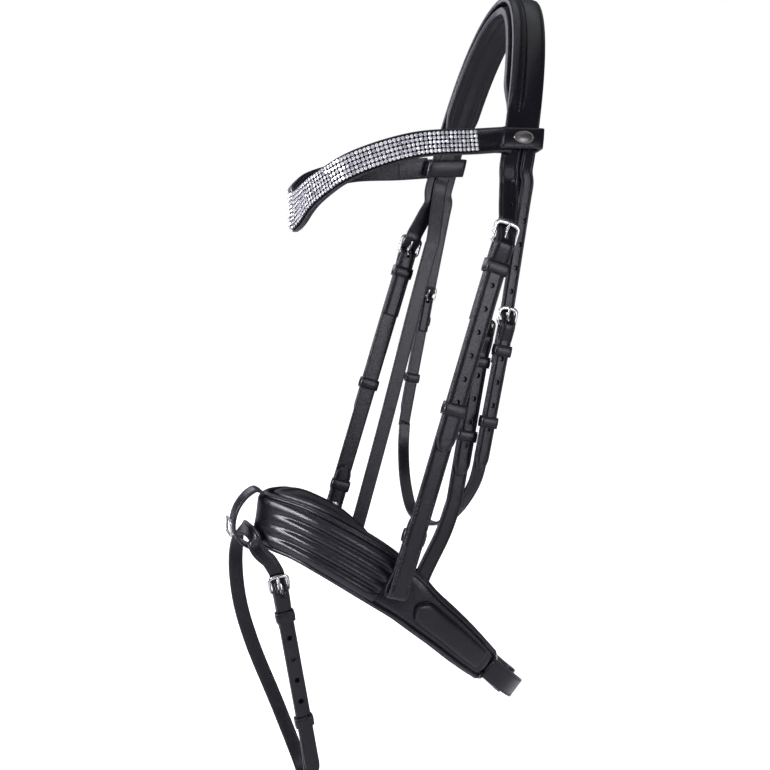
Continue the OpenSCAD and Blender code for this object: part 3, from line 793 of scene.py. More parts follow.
def make_strap(name, line, rows=(), groups=(), section=None, extra=None, cutter=None, shift=None):
    """Lofted strap with its holes cut and its stitch rows laid on."""
    points, faces, values = loft(line, section or strap_section(), shift=shift)
    obj = Shape().add(points, faces, 0, values).build(name, LEATHERS)
    if len(groups):
        punched(obj, line, groups)
    if cutter is not None:
        subtract(obj, cutter)
    return stitched(obj, rows, LEATHERS, extra)


def edge_rows(line, inset, rise=0.05):
    """The stitch rows along both edges of a line."""
    return [(line, k, inset, rise) for k in (1, -1)]


def seam_rows(line, s):
    """The rows that hold a turned end, 42 to 66 mm from the strap's end; s is the distance from it."""
    return edge_rows(line.take((s > 42) & (s < 66)), 1.7)


# ---------------------------------------------------------------- places of the buckles
def part_of(key, kind):
    """Name of a buckle set's node: part_of("cheek_left", "prong") is cheek_prong_left."""
    base, _, side = key.partition("_")
    return "_".join(word for word in (base, kind, side) if word)


SETS = {key: Place(part_of(key, "prong"), part_of(key, "runner"))
        for key in ("cheek_left", "cheek_right", "throat_left", "throat_right", "hanger", "crank", "flash")}
STRAP_T, FOLD_T = 2.4, 1.9
FOLD_GAP, BAR_GAP = 0.35, 0.2
CHEEK_FLAP_X = -2.75
BEND_START, BEND_END = np.array([0, -105.0, -430]), np.array([0, -117.0, -460])
FLASH_LOOP_FOOT, FLASH_LOOP_PRESS = -426, 0.6
MOUNT = {m["name"]: np.array(m["pos_m"]) * MM for m in frame["record"]["mounts"]}
BODY = {n: b for b, group in frame["record"]["behaviour"]["bodies"].items() for n in group}


# ---------------------------------------------------------------- metalwork
def wire_loop(path, centre, across, up, out, sizes):
    """Closed loop of wire through (across, up, out) stations; sizes: radii in the plane and out of it."""
    flat = np.array(path, float)
    count = len(flat)
    rings = []
    for i in range(count):
        ahead = flat[(i + 1) % count, :2] - flat[i - 1, :2]
        ahead = ahead / np.linalg.norm(ahead)
        side = np.array([ahead[1], -ahead[0]])
        in_plane, out_plane = sizes[i]
        p = centre + across * flat[i, 0] + up * flat[i, 1] + out * flat[i, 2]
        m = across * side[0] + up * side[1]
        rings.append([p + m * in_plane * math.cos(w) + out * out_plane * math.sin(w) for w in circle(16)])
    return skin(rings, closed=True)


def rounded_frame(half_w, low, high, r, arch=0.0, lift=0.0, flat=1.0, steps=6):
    """Stations and wire sizes of a rounded rectangle whose far bar may be arched and flattened."""
    rc = min(2.6, (high - low) / 3)
    path = []
    corners = [(half_w - rc, low + rc, -90), (half_w - rc, high - rc, 0),
               (-half_w + rc, high - rc, 90), (-half_w + rc, low + rc, 180)]
    for cx, cz, start in corners:
        for k in range(steps + 1):
            w = math.radians(start + 90 * k / steps)
            path.append((cx + rc * math.cos(w), cz + rc * math.sin(w)))
        if start == 0:
            path += [(x, high) for x in np.linspace(half_w - rc, -half_w + rc, 9)[1:-1]]
        if start == 180:
            path += [(x, low) for x in np.linspace(-half_w + rc, half_w - rc, 5)[1:-1]]
    stations, sizes = [], []
    for x, z in path:
        far = float(ease(z, low + 0.5 * (high - low), high))
        dome = max(0.0, 1 - (x / half_w) ** 2)
        stations.append((x, z + arch * far * dome, lift * far * (0.4 + 0.6 * dome)))
        sizes.append((r * (1 + 0.35 * far * (flat != 1.0)), r * (1 + (flat - 1) * far)))
    return stations, sizes


def metal_piece(name, parts, node, look=NICKEL):
    shape = Shape()
    for points, faces in parts:
        shape.add(points, faces)
    obj = shape.build(name, [look], sharp=40)
    return finish_piece(obj, [node], BODY[node])


def wire_radius(key):
    lo, hi = SETS[key].box(part_of(key, "buckle"))
    return (hi[0] - lo[0]) / 2


def buckle_piece(key):
    place, node, r = SETS[key], part_of(key, "buckle"), wire_radius(key)
    lo, hi = place.box(node)
    stations, sizes = rounded_frame(hi[1] - r, lo[2] + r, hi[2] - r, r, arch=1.1, lift=0.5, flat=0.8)
    ring = wire_loop(stations, place.o, place.y, place.z, place.x, sizes)
    metal_piece(node + "_frame", [ring], node)


def prong_piece(key):
    """Prong: a flat ring turned round the heel bar, then a tapering tongue that rests on the front bar."""
    place, node, r = SETS[key], part_of(key, "prong"), wire_radius(key)
    lo, hi = place.box(node)
    half = (hi[1] - lo[1]) / 2
    outer = -lo[2]
    ring_r, wall = (r + outer) / 2, (outer - r) / 2 - 0.1
    loops = []
    for w in circle(28):
        out = np.array([math.cos(w), 0, math.sin(w)])
        loops.append([out * (ring_r + 0.1) + out * wall * math.cos(v) + np.array([0, half * math.sin(v), 0])
                      for v in circle(12)])
    ring_points, ring_faces = skin(loops, closed=True)
    reach, tip = front_bar(key), hi[2]
    top = r * 0.8 + 1.25
    line = [(0.2, 0.0, r + 0.5, 0.95), (0.5, 0, r + 1.6, 1.0), (0.8, 0, reach * 0.4, 0.92),
            (top * 0.62, 0, reach * 0.75, 0.86), (top, 0, reach - 0.2, 0.82), (top + 0.1, 0, reach + 0.9, 0.75),
            (top - 0.1, 0, tip - 0.45, 0.6), (top - 0.2, 0, tip - 0.1, 0.3)]
    rings = []
    for x, y, z, size in line:
        rings.append([(x + size * 0.9 * math.cos(w), y + size * math.sin(w) * 1.1, z) for w in circle(14)])
    pin_points, pin_faces = skin(rings)
    parts = [(place.world(ring_points), ring_faces), (place.world(pin_points), pin_faces)]
    metal_piece(node + "_tongue", parts, node)


def ring_piece(node):
    centre, axes, half = principal(node)
    r = half[2]
    stations, sizes = rounded_frame(half[0] - r, -half[1] + r, half[1] - r, r)
    loop = wire_loop(stations, centre, axes[0], axes[1], np.cross(axes[0], axes[1]), sizes)
    metal_piece(node + "_wire", [loop], node)


def stud_piece(side):
    """Hook stud: a turned stem with a waisted neck and a domed head, inside the strap."""
    node = "hook_stud_" + side
    place = SETS["cheek_" + side]
    lo, hi = place.box(node)
    z = (lo[2] + hi[2]) / 2
    head = (hi[2] - lo[2]) / 2
    depth = hi[0] - lo[0]
    profile = [(0.02, 1.5), (0.15, 1.75), (0.3, 1.55), (0.55, 1.3), (0.74, 1.4), (0.80, head * 0.8),
               (0.85, head * 0.98), (0.90, head), (0.95, head * 0.9), (0.985, head * 0.6), (1.0, head * 0.2)]
    rings = [[(hi[0] - depth * s, r * math.cos(w), z + r * math.sin(w)) for w in circle(24)]
             for s, r in profile]
    points, faces = skin(rings)
    metal_piece(node + "_turned", [(place.world(points), faces)], node)


def brow_end(side):
    """(centre, out, along, up, half sizes) of the oval stud on one loop; along points forward."""
    centre, axes, half = principal("browband_rosettes", side)
    out = axes[2] * np.sign(axes[2][0] * side)
    return centre, out, axes[0] * np.sign(axes[0] @ FRONT), axes[1] * np.sign(axes[1][2]), half


def rosettes_piece():
    """Plain oval studs: a stepped rim round a smooth dome, one on each loop of the browband."""
    parts = []
    for side in (1, -1):
        centre, out, level, high, half = brow_end(side)
        w = math.radians(-12)
        along, up = level * math.cos(w) + high * math.sin(w), high * math.cos(w) - level * math.sin(w)
        rise = half[2] * 2
        base = centre - out * half[2]
        profile = [(0.98, 0.0), (1.0, 0.35), (0.97, 0.75), (0.90, 0.95), (0.84, 0.85), (0.80, 0.70),
                   (0.74, 0.80), (0.60, 1.15), (0.40, 1.42), (0.20, 1.55), (0.06, 1.6)]
        rings = []
        for share, height in profile:
            rings.append([base + along * half[0] * share * math.cos(w) + up * half[1] * share * math.sin(w)
                          + out * rise * height / 1.25 for w in circle(40)])
        parts.append(skin(rings))
    metal_piece("browband_rosettes_domed", parts, "browband_rosettes", look=AGED)


# ---------------------------------------------------------------- keepers
def wall_of(values):
    """Step from the lowest value of a list to the next one that differs."""
    steps = np.unique(np.round(values, 2))
    return steps[steps - steps[0] > 0.2][0]


def keeper_rings(lo, hi, wall, low, high):
    """Rings round a leather loop: rounded corners, rolled lips above and below, a crease inside each lip."""
    cx, cy = (lo[0] + hi[0]) / 2, (lo[1] + hi[1]) / 2
    hx, hy = (hi[0] - lo[0]) / 2 - wall / 2, (hi[1] - lo[1]) / 2 - wall / 2
    rc = wall * 0.9
    half_h = (high - low) / 2
    z0 = (low + high) / 2
    around = []
    turns = ((1, 1, 0, 0, 1), (-1, 1, 90, -1, 0), (-1, -1, 180, 0, -1), (1, -1, 270, 1, 0))
    for sx, sy, start, nx, ny in turns:
        for k in range(6):
            w = math.radians(start + 90 * k / 5)
            around.append((cx + sx * (hx - rc) + rc * math.cos(w), cy + sy * (hy - rc) + rc * math.sin(w),
                           math.cos(w), math.sin(w)))
        span = 2 * (hx - rc) if ny else 2 * (hy - rc)
        x0, y0 = around[-1][:2]
        around += [(x0 - ny * span * k, y0 + nx * span * k, nx, ny) for k in (0.25, 0.5, 0.75)]
    w2 = wall / 2
    lip = min(1.1, half_h * 0.3)
    section = [(w2 - 0.1, half_h - 0.35), (w2 - 0.35, half_h - 0.05), (0, half_h), (-w2 + 0.3, half_h - 0.05),
               (-w2, half_h - 0.4), (-w2, 0), (-w2, -half_h + 0.4), (-w2 + 0.3, -half_h + 0.05), (0, -half_h),
               (w2 - 0.35, -half_h + 0.05), (w2 - 0.1, -half_h + 0.35), (w2 + 0.05, -half_h + lip * 0.6),
               (w2 - 0.22, -half_h + lip), (w2 + 0.02, -half_h + lip * 1.5), (w2 + 0.16, 0),
               (w2 + 0.02, half_h - lip * 1.5), (w2 - 0.22, half_h - lip), (w2 + 0.05, half_h - lip * 0.6)]
    rings = [[(x + nx * m, y + ny * m, z0 + h) for m, h in section] for x, y, nx, ny in around]
    edge = [1, 1, 1, 1, 0.6, 0, 0.6, 1, 1, 1, 1, 0.6, 0, 0, 0, 0, 0, 0.6]
    return rings, edge * len(rings)


def keeper_piece(key, node, under=0.0):
    """A keeper; with under it is sewn beneath the outer layer instead of going over it."""
    place = SETS[key]
    points = place.node_points(node)
    lo, hi = points.min(0), points.max(0)
    hi[0] -= under
    wall = wall_of(points[:, 1]) - lo[1]
    rings, edge = keeper_rings(lo, hi, wall, lo[2], hi[2])
    points, faces = skin(rings, closed=True)
    shape = Shape().add(place.world(points), faces, 0, edge)
    obj = shape.build(node + "_loop", LEATHERS)
    finish_piece(obj, [node], BODY[node])


# ---------------------------------------------------------------- straps of the bridle
def crown_lines():
    """The crown's line as far as the browband's loops, and its two split ends (near side first)."""
    crown = strip("headpiece")
    if crown.c[0][0] < crown.c[-1][0]:
        crown = crown.flipped()
    ends = []
    for side in (1, -1):
        loop = principal("browband_rosettes", side)[0]
        line = crown if side > 0 else crown.flipped()
        cut = int(np.argmin(np.linalg.norm(line.c[: len(line) // 2] - loop, axis=1)))
        ends.append((line.take(slice(cut, None, -1)) if cut else line.take(slice(0, 1)), cut))
    return crown, ends


CROWN, CROWN_ENDS = crown_lines()


def headpiece_piece():
    """Crown: a rolled front edge, two grooves with a bead between, then a broad crowned panel."""
    cuts = [cut for _, cut in CROWN_ENDS]
    line = CROWN.take(slice(cuts[0], len(CROWN) - cuts[1])).smooth(3.0)
    drop = line.c[:, 2]
    fade = ease(drop, -96, -80)
    section = corner(1, 1, 0.9, 0)
    for share in (0.90, 0.82, 0.74, 0.66, 0.58, 0.50, 0.44, 0.40, 0.36, 0.32, 0.28, 0.24, 0.20, 0.16, 0.12,
                  0.04, -0.08, -0.2, -0.35, -0.5, -0.65, -0.78, -0.86, -0.90, -0.94):
        section.append((share, 0, 1, 0, 0.8 if abs(share) > 0.9 else 0))
    section += flat_underside(0.7)

    def rise(i, share, up):
        if up < 0:
            return 0.0
        roll = 2.3 * math.sqrt(max(0.0, 1 - ((share - 0.70) / 0.30) ** 2))
        groove = -1.0 * (math.exp(-((share - 0.38) / 0.035) ** 2) + math.exp(-((share - 0.18) / 0.035) ** 2))
        bead = 0.7 * math.exp(-((share - 0.28) / 0.06) ** 2)
        panel = 1.3 * math.sqrt(max(0.0, 1 - ((share + 0.42) / 0.56) ** 2)) if share < 0.14 else 0.0
        rim = -0.45 * math.exp(-((share + 0.87) / 0.03) ** 2)
        return float(fade[i]) * (roll + groove + bead + panel) + rim

    rows = [(line, -1, 1.1, 0.12, 2, 2, 3.2), (line, 1, 8.8, 0.02, 20, 20, 3.2)]
    obj = make_strap("headpiece_crown", line, rows, section=section, shift=rise)
    finish_piece(obj, ["headpiece"], "head")


def rounded_tip(distances, reach=11):
    """Shares of a strap's full width at distances from its rounded tip."""
    return np.array([max(0.14, math.sqrt(1 - (1 - d / reach) ** 2)) for d in distances])


def billet_line(key, node):
    """A buckle's billet: behind the front bar, over the heel bar, then down to its rounded tip."""
    place = SETS[key]
    points = place.node_points(node)
    points = points[(np.abs(points[:, 1]) < 10) & (np.abs(points[:, 0]) < 9)]
    z = points[:, 2]
    bar = front_bar(key)
    lying = points[(z < -19.5) & (z > -60)]
    rest = lying[:, 0].max() - STRAP_T / 2
    own = points[points[:, 0] > rest - STRAP_T / 2 - 0.15]
    over = points[np.abs(z) < 6][:, 0].max() - STRAP_T / 2
    under = -(wire_radius(key) + 0.5 + STRAP_T / 2)
    low, width = own[:, 2].min(), 2 * np.abs(lying[lying[:, 0] > rest + STRAP_T / 2 - 0.1][:, 1]).max()
    stations = [(under, bar + 4), (under, bar), ((under + over) / 2, bar / 2), (over, 0.5), (over - 0.3, -5),
                (rest + 0.7, -12), (rest, -20)]
    ends = (11, 9, 7, 5, 3.5, 2.2, 1.1, 0.4, 0)
    stations += [(rest, low + d) for d in ends]
    widths = [width] * 7 + list(width * rounded_tip(ends))
    line = place.run(stations, widths, STRAP_T)
    line.n = line.n * np.sign(line.n[6] @ place.x)
    return line


def front_bar(key):
    """Distance from a buckle's heel bar up to its front bar."""
    return SETS[key].box(part_of(key, "buckle"))[1][2] - wire_radius(key)


def with_billet(line, key, node):
    """line as far as the buckle, then its billet."""
    local = SETS[key].local(line.c)
    near = (np.abs(local[:, 1]) < 4) & (np.abs(local[:, 0]) < 9) & (local[:, 2] < front_bar(key) + 7)
    near[: len(line) // 2] = False
    cut = int(np.argmax(near)) if near.any() else len(line)
    tail = billet_line(key, node).facing(line.a[cut - 1], line.n[cut - 1])
    return line.take(slice(0, cut)).plus(tail)


def split_billet(node, key, swing, lateral):
    """A billet from the split crown down through its buckle to its tip."""
    side = -1 if key.endswith("right") else 1
    pivot_z = swing["pos_m"][2] * MM
    points = node_points(node)
    x, y, _ = middle_of(points[np.abs(points[:, 2] - pivot_z) < 0.7])
    swing_at = np.array([x, y, pivot_z])
    tail = billet_line(key, node)
    ends, _ = CROWN_ENDS[0 if side > 0 else -1]
    width = tail.width[0]
    top = ends.moved(side=lateral * (ends.width[0] - width) / 2, width=np.full(len(ends), width),
                     thick=np.full(len(ends), STRAP_T))
    across = np.array([0.0, np.sign(top.a[-1][1]), 0.0])
    count = max(2, round(np.linalg.norm(tail.c[0] - swing_at) / 11))
    shares = np.arange(count)[:, None] / count
    drop = Strip(swing_at + (tail.c[0] - swing_at) * shares, np.tile(across, (count, 1)),
                 np.tile([side, 0.0, 0.0], (count, 1)), width, STRAP_T)
    if tail.a[0] @ across < 0:
        tail.a = -tail.a
    return top.plus(drop).plus(tail).smooth()


def holes_above(line, groups, count):
    """More punched holes at the same pitch, above the highest hole of a billet."""
    small = sorted((g for g in groups if np.ptp(g, 0).max() < 6), key=lambda g: -g[:, 2].mean())
    if len(small) < 2:
        return []
    s = line.length()
    centre = middle_of(small[0])
    at = [s[int(np.argmin(np.linalg.norm(line.c - g.mean(0), axis=1)))] for g in small[:2]]
    spots = [at[0] + (at[0] - at[1]) * k for k in range(1, count + 1)]
    return [small[0] - centre + [np.interp(spot, s, line.c[:, axis]) for axis in range(3)] for spot in spots]


def billet_piece(node, key, swing, lateral):
    whole = split_billet(node, key, swing, lateral)
    groups = sharp_chains(node)[1]
    groups = groups + holes_above(whole, groups, 1 if "cheek" in key else 2)
    obj = make_strap(node + "_strap", whole, groups=groups)
    _, y, z = np.array(swing["pos_m"]) * MM
    x = whole.c[0][0]
    ends = CROWN_ENDS[0 if x > 0 else 1][0]
    start, hinge = np.array([x, y, ends.c[-1][2] + 4]), np.array([x, y, z - 2])
    finish_piece(obj, [node], bend=("head", swing["child"], start, hinge))


def over_bar(radius):
    """Stations of half a turn over a heel bar, from behind it to its front."""
    turn = np.radians([0, 25, 50, 75, 100, 125, 150, 180])
    return [(radius * -math.cos(w), radius * math.sin(w)) for w in turn]


def fold(key, back, flap=-(FOLD_T / 2 + STRAP_T / 2 + FOLD_GAP)):
    """Turned end of a strap round its heel bar: up the back, over the bar, down the front."""
    radius = wire_radius(key) + BAR_GAP + FOLD_T / 2
    stations = [(flap, -back), (flap, -back * 0.6), (flap, -8.0), (flap * 0.97, -5.0), (-radius, -1.6)]
    return stations + over_bar(radius) + [(radius * 0.93, -1.8), (radius * 0.6, -4.2), (0.35, -7.2), (0, -9.0)]


def eye_cutter(place, half=1.9, low=-3.2, high=6.5):
    """Cuts the eye that lets a prong's ring through the turned end of its strap."""
    return box_cutter(place, (-9, -half, low), (9, half, high))


def folded_end(key, back, width, beside):
    """The fold round a buckle's heel bar, made to run on into the line beside it, given as (a, n, thick)."""
    a, n, thick = beside
    run = SETS[key].run(fold(key, back), width, FOLD_T)
    run.facing(a, n, -1)
    run.thick[-2:] = thick
    return run


def eyed_line(node, key, back):
    """A strap line that starts with the fold round its buckle's heel bar."""
    place = SETS[key]
    line = strip(node).from_end(place.o)
    plain = line.take(slice(int(np.argmax(place.local(line.c)[:, 2] < -9.5)), None))
    return folded_end(key, back, line.width[0], (plain.a[0], plain.n[0], plain.thick[0])).plus(plain)


def hanger_piece():
    line = eyed_line("noseband_hanger", "hanger", 44).smooth()
    rows = edge_rows(trimmed(line, 70, 0).take(slice(0, 22)), 1.7)
    obj = make_strap("noseband_hanger_strap", line, rows, cutter=eye_cutter(SETS["hanger"]))
    finish_piece(obj, ["noseband_hanger"], bend=("head", "noseband", BEND_START, BEND_END))


def headstrap_piece():
    raw = strip("noseband_headstrap").from_end(np.array([-86.0, -119, -464]))
    line = with_billet(raw, "hanger", "noseband_headstrap").smooth()
    rows = edge_rows(trimmed(line, 6, 0).take(slice(0, 9)), 1.9)
    obj = make_strap("noseband_headstrap_strap", line, rows, groups=raw.groups)
    finish_piece(obj, ["noseband_headstrap"],
                 bend=("head", "noseband", BEND_START, BEND_END))


def throatlash_piece():
    near, far = SETS["throat_left"], SETS["throat_right"]
    raw = strip("throatlash").from_end(near.o)
    middle = raw.take((near.local(raw.c)[:, 2] < -9.5) & (far.local(raw.c)[:, 2] < -9.5))
    runs = [folded_end(key, 30, raw.width[0], (middle.a[0], middle.n[i], middle.thick[0]))
            for key, i in (("throat_left", 0), ("throat_right", -1))]
    line = runs[0].plus(middle).plus(runs[1].flipped()).smooth()
    cutter, other = eye_cutter(near), eye_cutter(far)
    cutter.add(other.points[0], other.faces)
    s = line.length()
    rows = []
    for end in (s, s[-1] - s):
        rows += seam_rows(line, end)
    obj = make_strap("throatlash_strap", line, rows, cutter=cutter)
    finish_piece(obj, ["throatlash"], "throat")


def cheekpiece_piece(side):
    """Cheekpiece: one strap, doubled behind its buckle, turned back round the bit loop onto its stud."""
    node, key = "cheekpiece_" + side, "cheek_" + side
    place = SETS[key]
    points = place.node_points(node)
    width = 2 * np.abs(points[points[:, 2] < -30][:, 1]).max()
    centre = place.local(MOUNT["bit_loop_" + side])
    foot, turn_r, flap_x = centre[2], -centre[0], -3.3
    stations = fold(key, 60, CHEEK_FLAP_X)
    stations += [(0, -40), (0, -80), (0, -120), (0, -160), (0, -200), (0, foot + 14), (0, foot + 4)]
    stations += [(centre[0] + turn_r * math.cos(w), foot - turn_r * math.sin(w))
                 for w in np.radians([0, 22, 45, 67, 90, 112, 135, 158, 180])]
    stations += [(centre[0] * 2 + 0.6, foot + 4), (flap_x - 1.6, foot + 11), (flap_x - 0.2, foot + 18),
                 (flap_x, foot + 26), (flap_x, foot + 42)]
    ends = (11, 8, 5.5, 3.5, 1.8, 0.6, 0)
    stations += [(flap_x, foot + 62 - d) for d in ends]
    line = place.run(stations, width, STRAP_T)
    line.width[-len(ends):] *= rounded_tip(ends)
    line.thick[:16] = FOLD_T
    line.n = -line.n if line.n[20] @ place.x < 0 else line.n
    line = line.smooth()
    local = place.local(line.c)
    front = line.n @ place.x > 0.6
    cutter = eye_cutter(place, 2.0, -3.4, 7.0)
    z = middle_of(np.array(place.box("hook_stud_" + side)))[2]
    rings = [[(x, 2.1 * math.cos(w), z + 2.1 * math.sin(w)) for w in circle(20)] for x in (-2.0, -8.0)]
    points, faces = skin(rings)
    cutter.add(place.world(points), faces)
    rows = []
    for high, low in ((-12, -58), (-232, foot + 6), (-196, -220)):
        rows += edge_rows(line.take(front & (local[:, 2] < high) & (local[:, 2] > low)), 1.9)
    obj = make_strap(node + "_strap", line, rows, cutter=cutter)
    finish_piece(obj, [node], BODY[node])


def browband_piece():
    """Browband: one strap across the brow with rolled rims, and a leather loop round the crown at each end."""
    line = strip("browband", UP).smooth(3.0)
    section = corner(1, 1, 0.6, 0)
    section += [(1, -1.1, 1, 0.35, 0.6), (1, -1.7, 1, 0.0, 0), (1, -2.1, 1, -0.15, 0), (0.4, 0, 1, 0, 0),
                (-0.4, 0, 1, 0, 0), (-1, 2.1, 1, -0.15, 0), (-1, 1.7, 1, 0.0, 0), (-1, 1.1, 1, 0.35, 0.6)]
    section += flat_underside(0.6)
    corners = node_points("browband")

    def loops(seams):
        for side in (1, -1):
            centre, out, along, up, _ = brow_end(side)
            axes = np.stack([out, along, up])
            local = (corners - centre) @ axes.T
            away = np.abs(local)
            height = line.width[0]
            near = local[(np.abs(away[:, 2] - height / 2) < 0.1) & (away[:, 1] < 26) & (away[:, 0] < 20)]
            reach, slope = height * 0.42, 0.22
            rings, edge = keeper_rings(near.min(0), near.max(0), line.thick[0], -reach, reach)
            points, faces = skin(rings, closed=True)
            points[:, 2] -= points[:, 1] * slope
            seams.add(centre + points @ axes, faces, 0, edge)

    rows = []
    for side in (1, -1):
        rows += edge_rows(line.take((line.c[:, 1] > -70) & (line.c[:, 0] * side > 0)), 3.0, -0.12)
    rows += edge_rows(line, 2.6, -0.02)
    obj = make_strap("browband_strap", line, [r for r in rows if len(r[0]) > 3], section=section, extra=loops)
    finish_piece(obj, ["browband"], "browband")


def stone(shape, cup, centre, out, across, along, radius, value):
    """One faceted stone with a flat table over a girdle, in a four-clawed cup."""
    def ring(r, h, count, turn=0.0):
        return [centre + across * r * math.cos(w + turn) + along * r * math.sin(w + turn) + out * h
                for w in circle(count)]
    table = ring(radius * 0.56, radius * 0.62, 8, math.pi / 8)
    girdle = ring(radius * 0.98, radius * 0.16, 8)
    base = ring(radius * 0.5, -radius * 0.35, 8)
    points = table + girdle + base + [centre + out * radius * 0.62, centre - out * radius * 0.4]
    faces = []
    for i in range(8):
        j = (i + 1) % 8
        faces += [(i, j, 24), (i, 8 + i, 8 + j), (i, 8 + j, j), (8 + i, 16 + i, 16 + j, 8 + j),
                  (16 + j, 16 + i, 25)]
    # value is the stone's random brightness; it also sets the strength of the stone's painted glow.
    shape.add(points, faces, 0, [value] * len(points))
    rings = [ring(radius * 0.85, -radius * 0.75, 8), ring(radius * 1.04, -radius * 0.2, 8),
             ring(radius * 1.12, radius * 0.12, 8), ring(radius * 1.02, radius * 0.2, 8),
             ring(radius * 0.8, -radius * 0.1, 8)]
    cup.add(*skin(rings), 1)
    for k in range(4):
        w = math.pi / 4 + k * math.pi / 2
        d = across * math.cos(w) + along * math.sin(w)
        e = np.cross(out, d)
        claw = []
        for r, h, size in ((1.12, -0.2, 0.16), (1.1, 0.2, 0.17), (0.98, 0.38, 0.15), (0.84, 0.44, 0.08)):
            p = centre + d * radius * r + out * radius * h
            claw.append([p + (e * math.cos(v) + d * math.sin(v)) * radius * size for v in circle(4)])
        cup.add(*skin(claw), 1)


def crystals_piece():
    """Rows of foiled crystals in silver cups along the browband, on a thin dark strip."""
    line = strip("browband_crystals", UP).smooth(1.5)
    s = line.length()
    columns = max(3, round(s[-1] / 3.2))
    spots = (np.arange(columns) + 0.5) * s[-1] / columns
    table = np.hstack([line.c, line.a, line.n, line.tangents(), line.width[:, None], line.thick[:, None]])
    stones, cups = Shape(), Shape()
    backing = line.moved(rise=-line.thick[0] / 2 + 0.25, thick=np.full(len(line), 0.5),
                         width=line.width - 0.6)
    points, faces, values = loft(backing, strap_section(r=0.2, inset=1.0, depth=0.0, crown=0.0))
    cups.add(points, faces, 2, values)
    for spot in spots:
        row = np.array([np.interp(spot, s, table[:, k]) for k in range(table.shape[1])])
        a, n, t, width, thick = unit(row[3:6]), unit(row[6:9]), unit(row[9:12]), row[12], row[13]
        count = max(5, round((width - 0.4) / 3.25))
        pitch = (width - 0.4) / count
        radius = min(1.35, pitch * 0.42)
        for k in range(count):
            jitter = [rng.uniform(-0.05, 0.05) for _ in range(4)]
            centre = row[:3] + a * (k - (count - 1) / 2) * pitch + n * (-thick / 2 + 0.5 + radius * 0.75)
            out = unit(n + a * jitter[0] + t * jitter[1])
            across = unit(np.cross(out, t + a * jitter[2] * 4))
            # Random brightness of each stone, which also drives its painted glow.
            value = rng.random() ** 0.6
            stone(stones, cups, centre, out, across, np.cross(out, across), radius, value)
    mats = [GLASS, SILVER, STRAP]
    obj = stones.build("browband_stones", mats, attribute="stone", sharp=5)
    joined(obj, cups.build("browband_cups", mats, attribute="stone", sharp=30))
    finish_piece(obj, ["browband_crystals"], "browband")


# ---------------------------------------------------------------- noseband, crank and flash
def noseband_piece():
    """Noseband leather: rolled rims above and below, two rows of stitching inside each rim."""
    line = strip("noseband", UP).smooth(3.0)
    section = corner(1, 1, 0.9, 0)
    bulge = [(-1.2, 1.2), (-2.0, 1.75), (-2.9, 1.7), (-3.7, 1.0), (-4.3, -0.3), (-5.0, 0.05)]
    section += [(1, o, 1, b, 0.5 if o > -2 else 0) for o, b in bulge] + [(0.5, 0, 1, 0.1, 0), (0, 0, 1, 0.1, 0)]
    section += [(-0.5, 0, 1, 0.1, 0)] + [(-1, -o, 1, b, 0.5 if o > -2 else 0) for o, b in bulge[::-1]]
    section += flat_underside(0.9)
    rows = edge_rows(line, 4.4, -0.2) + edge_rows(line, 6.0, 0.06)
    obj = make_strap("noseband_strap", line, rows, section=section)
    finish_piece(obj, ["noseband"], "noseband")


def inflated(obj, pinned, cap, pressure):
    """Cloth pressure on the unpinned part of a pad, each point held within cap mm, then smoothed once."""
    rest = np.array([v.co for v in obj.data.vertices], float).reshape(-1, 3)
    frames = 20
    group = obj.vertex_groups.new(name="pinned")
    group.add([int(i) for i in np.nonzero(pinned)[0]], 1.0, "REPLACE")
    cloth = obj.modifiers.new("cloth", "CLOTH")
    settings = cloth.settings
    settings.quality = 4
    settings.mass = 0.25
    settings.tension_stiffness = settings.compression_stiffness = 12
    settings.shear_stiffness = 6
    settings.bending_stiffness = 0.6
    settings.use_pressure = True
    settings.uniform_pressure_force = pressure
    settings.vertex_group_mass = "pinned"
    settings.effector_weights.gravity = 0
    cloth.collision_settings.use_collision = False
    cloth.point_cache.frame_start, cloth.point_cache.frame_end = 1, frames
    scene = bpy.context.scene
    for number in range(1, frames + 1):
        scene.frame_set(number)
    puffed = obj.evaluated_get(bpy.context.evaluated_depsgraph_get()).to_mesh()
    moved = np.array([v.co for v in puffed.vertices], float).reshape(-1, 3) - rest
    obj.modifiers.clear()
    scene.frame_set(1)
    far = np.linalg.norm(moved, axis=1, keepdims=True)
    moved *= np.minimum(1, cap / MM / np.maximum(far, 1e-12))
    moved = np.nan_to_num(moved)
    obj.data.vertices.foreach_set("co", (rest + moved).astype(np.float32).ravel())
    obj.data.update()
    obj.vertex_groups.clear()
    applied(obj, "SUBSURF", levels=1, render_levels=1)
    obj.data.set_sharp_from_angle(angle=math.radians(70))
    return obj


def pad_section(count, top, bottom):
    """Section of a pad from heights over (top) and under (bottom) its middle line, by share across."""
    shares = np.cos(np.linspace(0.12, math.pi - 0.12, count))
    section = [(1, 0, 0.45, 0, 1)]
    section += [(s, 0, 1, top(s), 0) for s in shares]
    section += [(-1, 0, 0.45, 0, 1), (-1, 0, -0.45, 0, 1)]
    section += [(s, 0, -1, -bottom(s), 0) for s in shares[::-1]]
    section += [(1, 0, -0.45, 0, 1)]
    return section


def pad_piece(name, node, line, section, pins, cap, rows=(), shift=None, pressure=4.0, soft=True):
    """Lofted pad, blown up between its pinned seams by the cloth solver, then stitched."""
    mats = PADS if soft else LEATHERS
    points, faces, values = loft(line, section, shift=shift)
    obj = Shape().add(points, faces, 0, values).build(name, mats)
    k = len(section)
    mask = np.zeros(len(points), bool)
    ring_pins = np.array([pins(s) for s in section])
    count = (len(points) - 2) // k
    for i in range(count):
        mask[i * k:(i + 1) * k] = ring_pins | (i < 2) | (i >= count - 2)
    mask[-2:] = True
    inflated(obj, mask, cap, pressure)
    stitched(obj, rows, mats)
    return finish_piece(obj, [node], BODY[node])


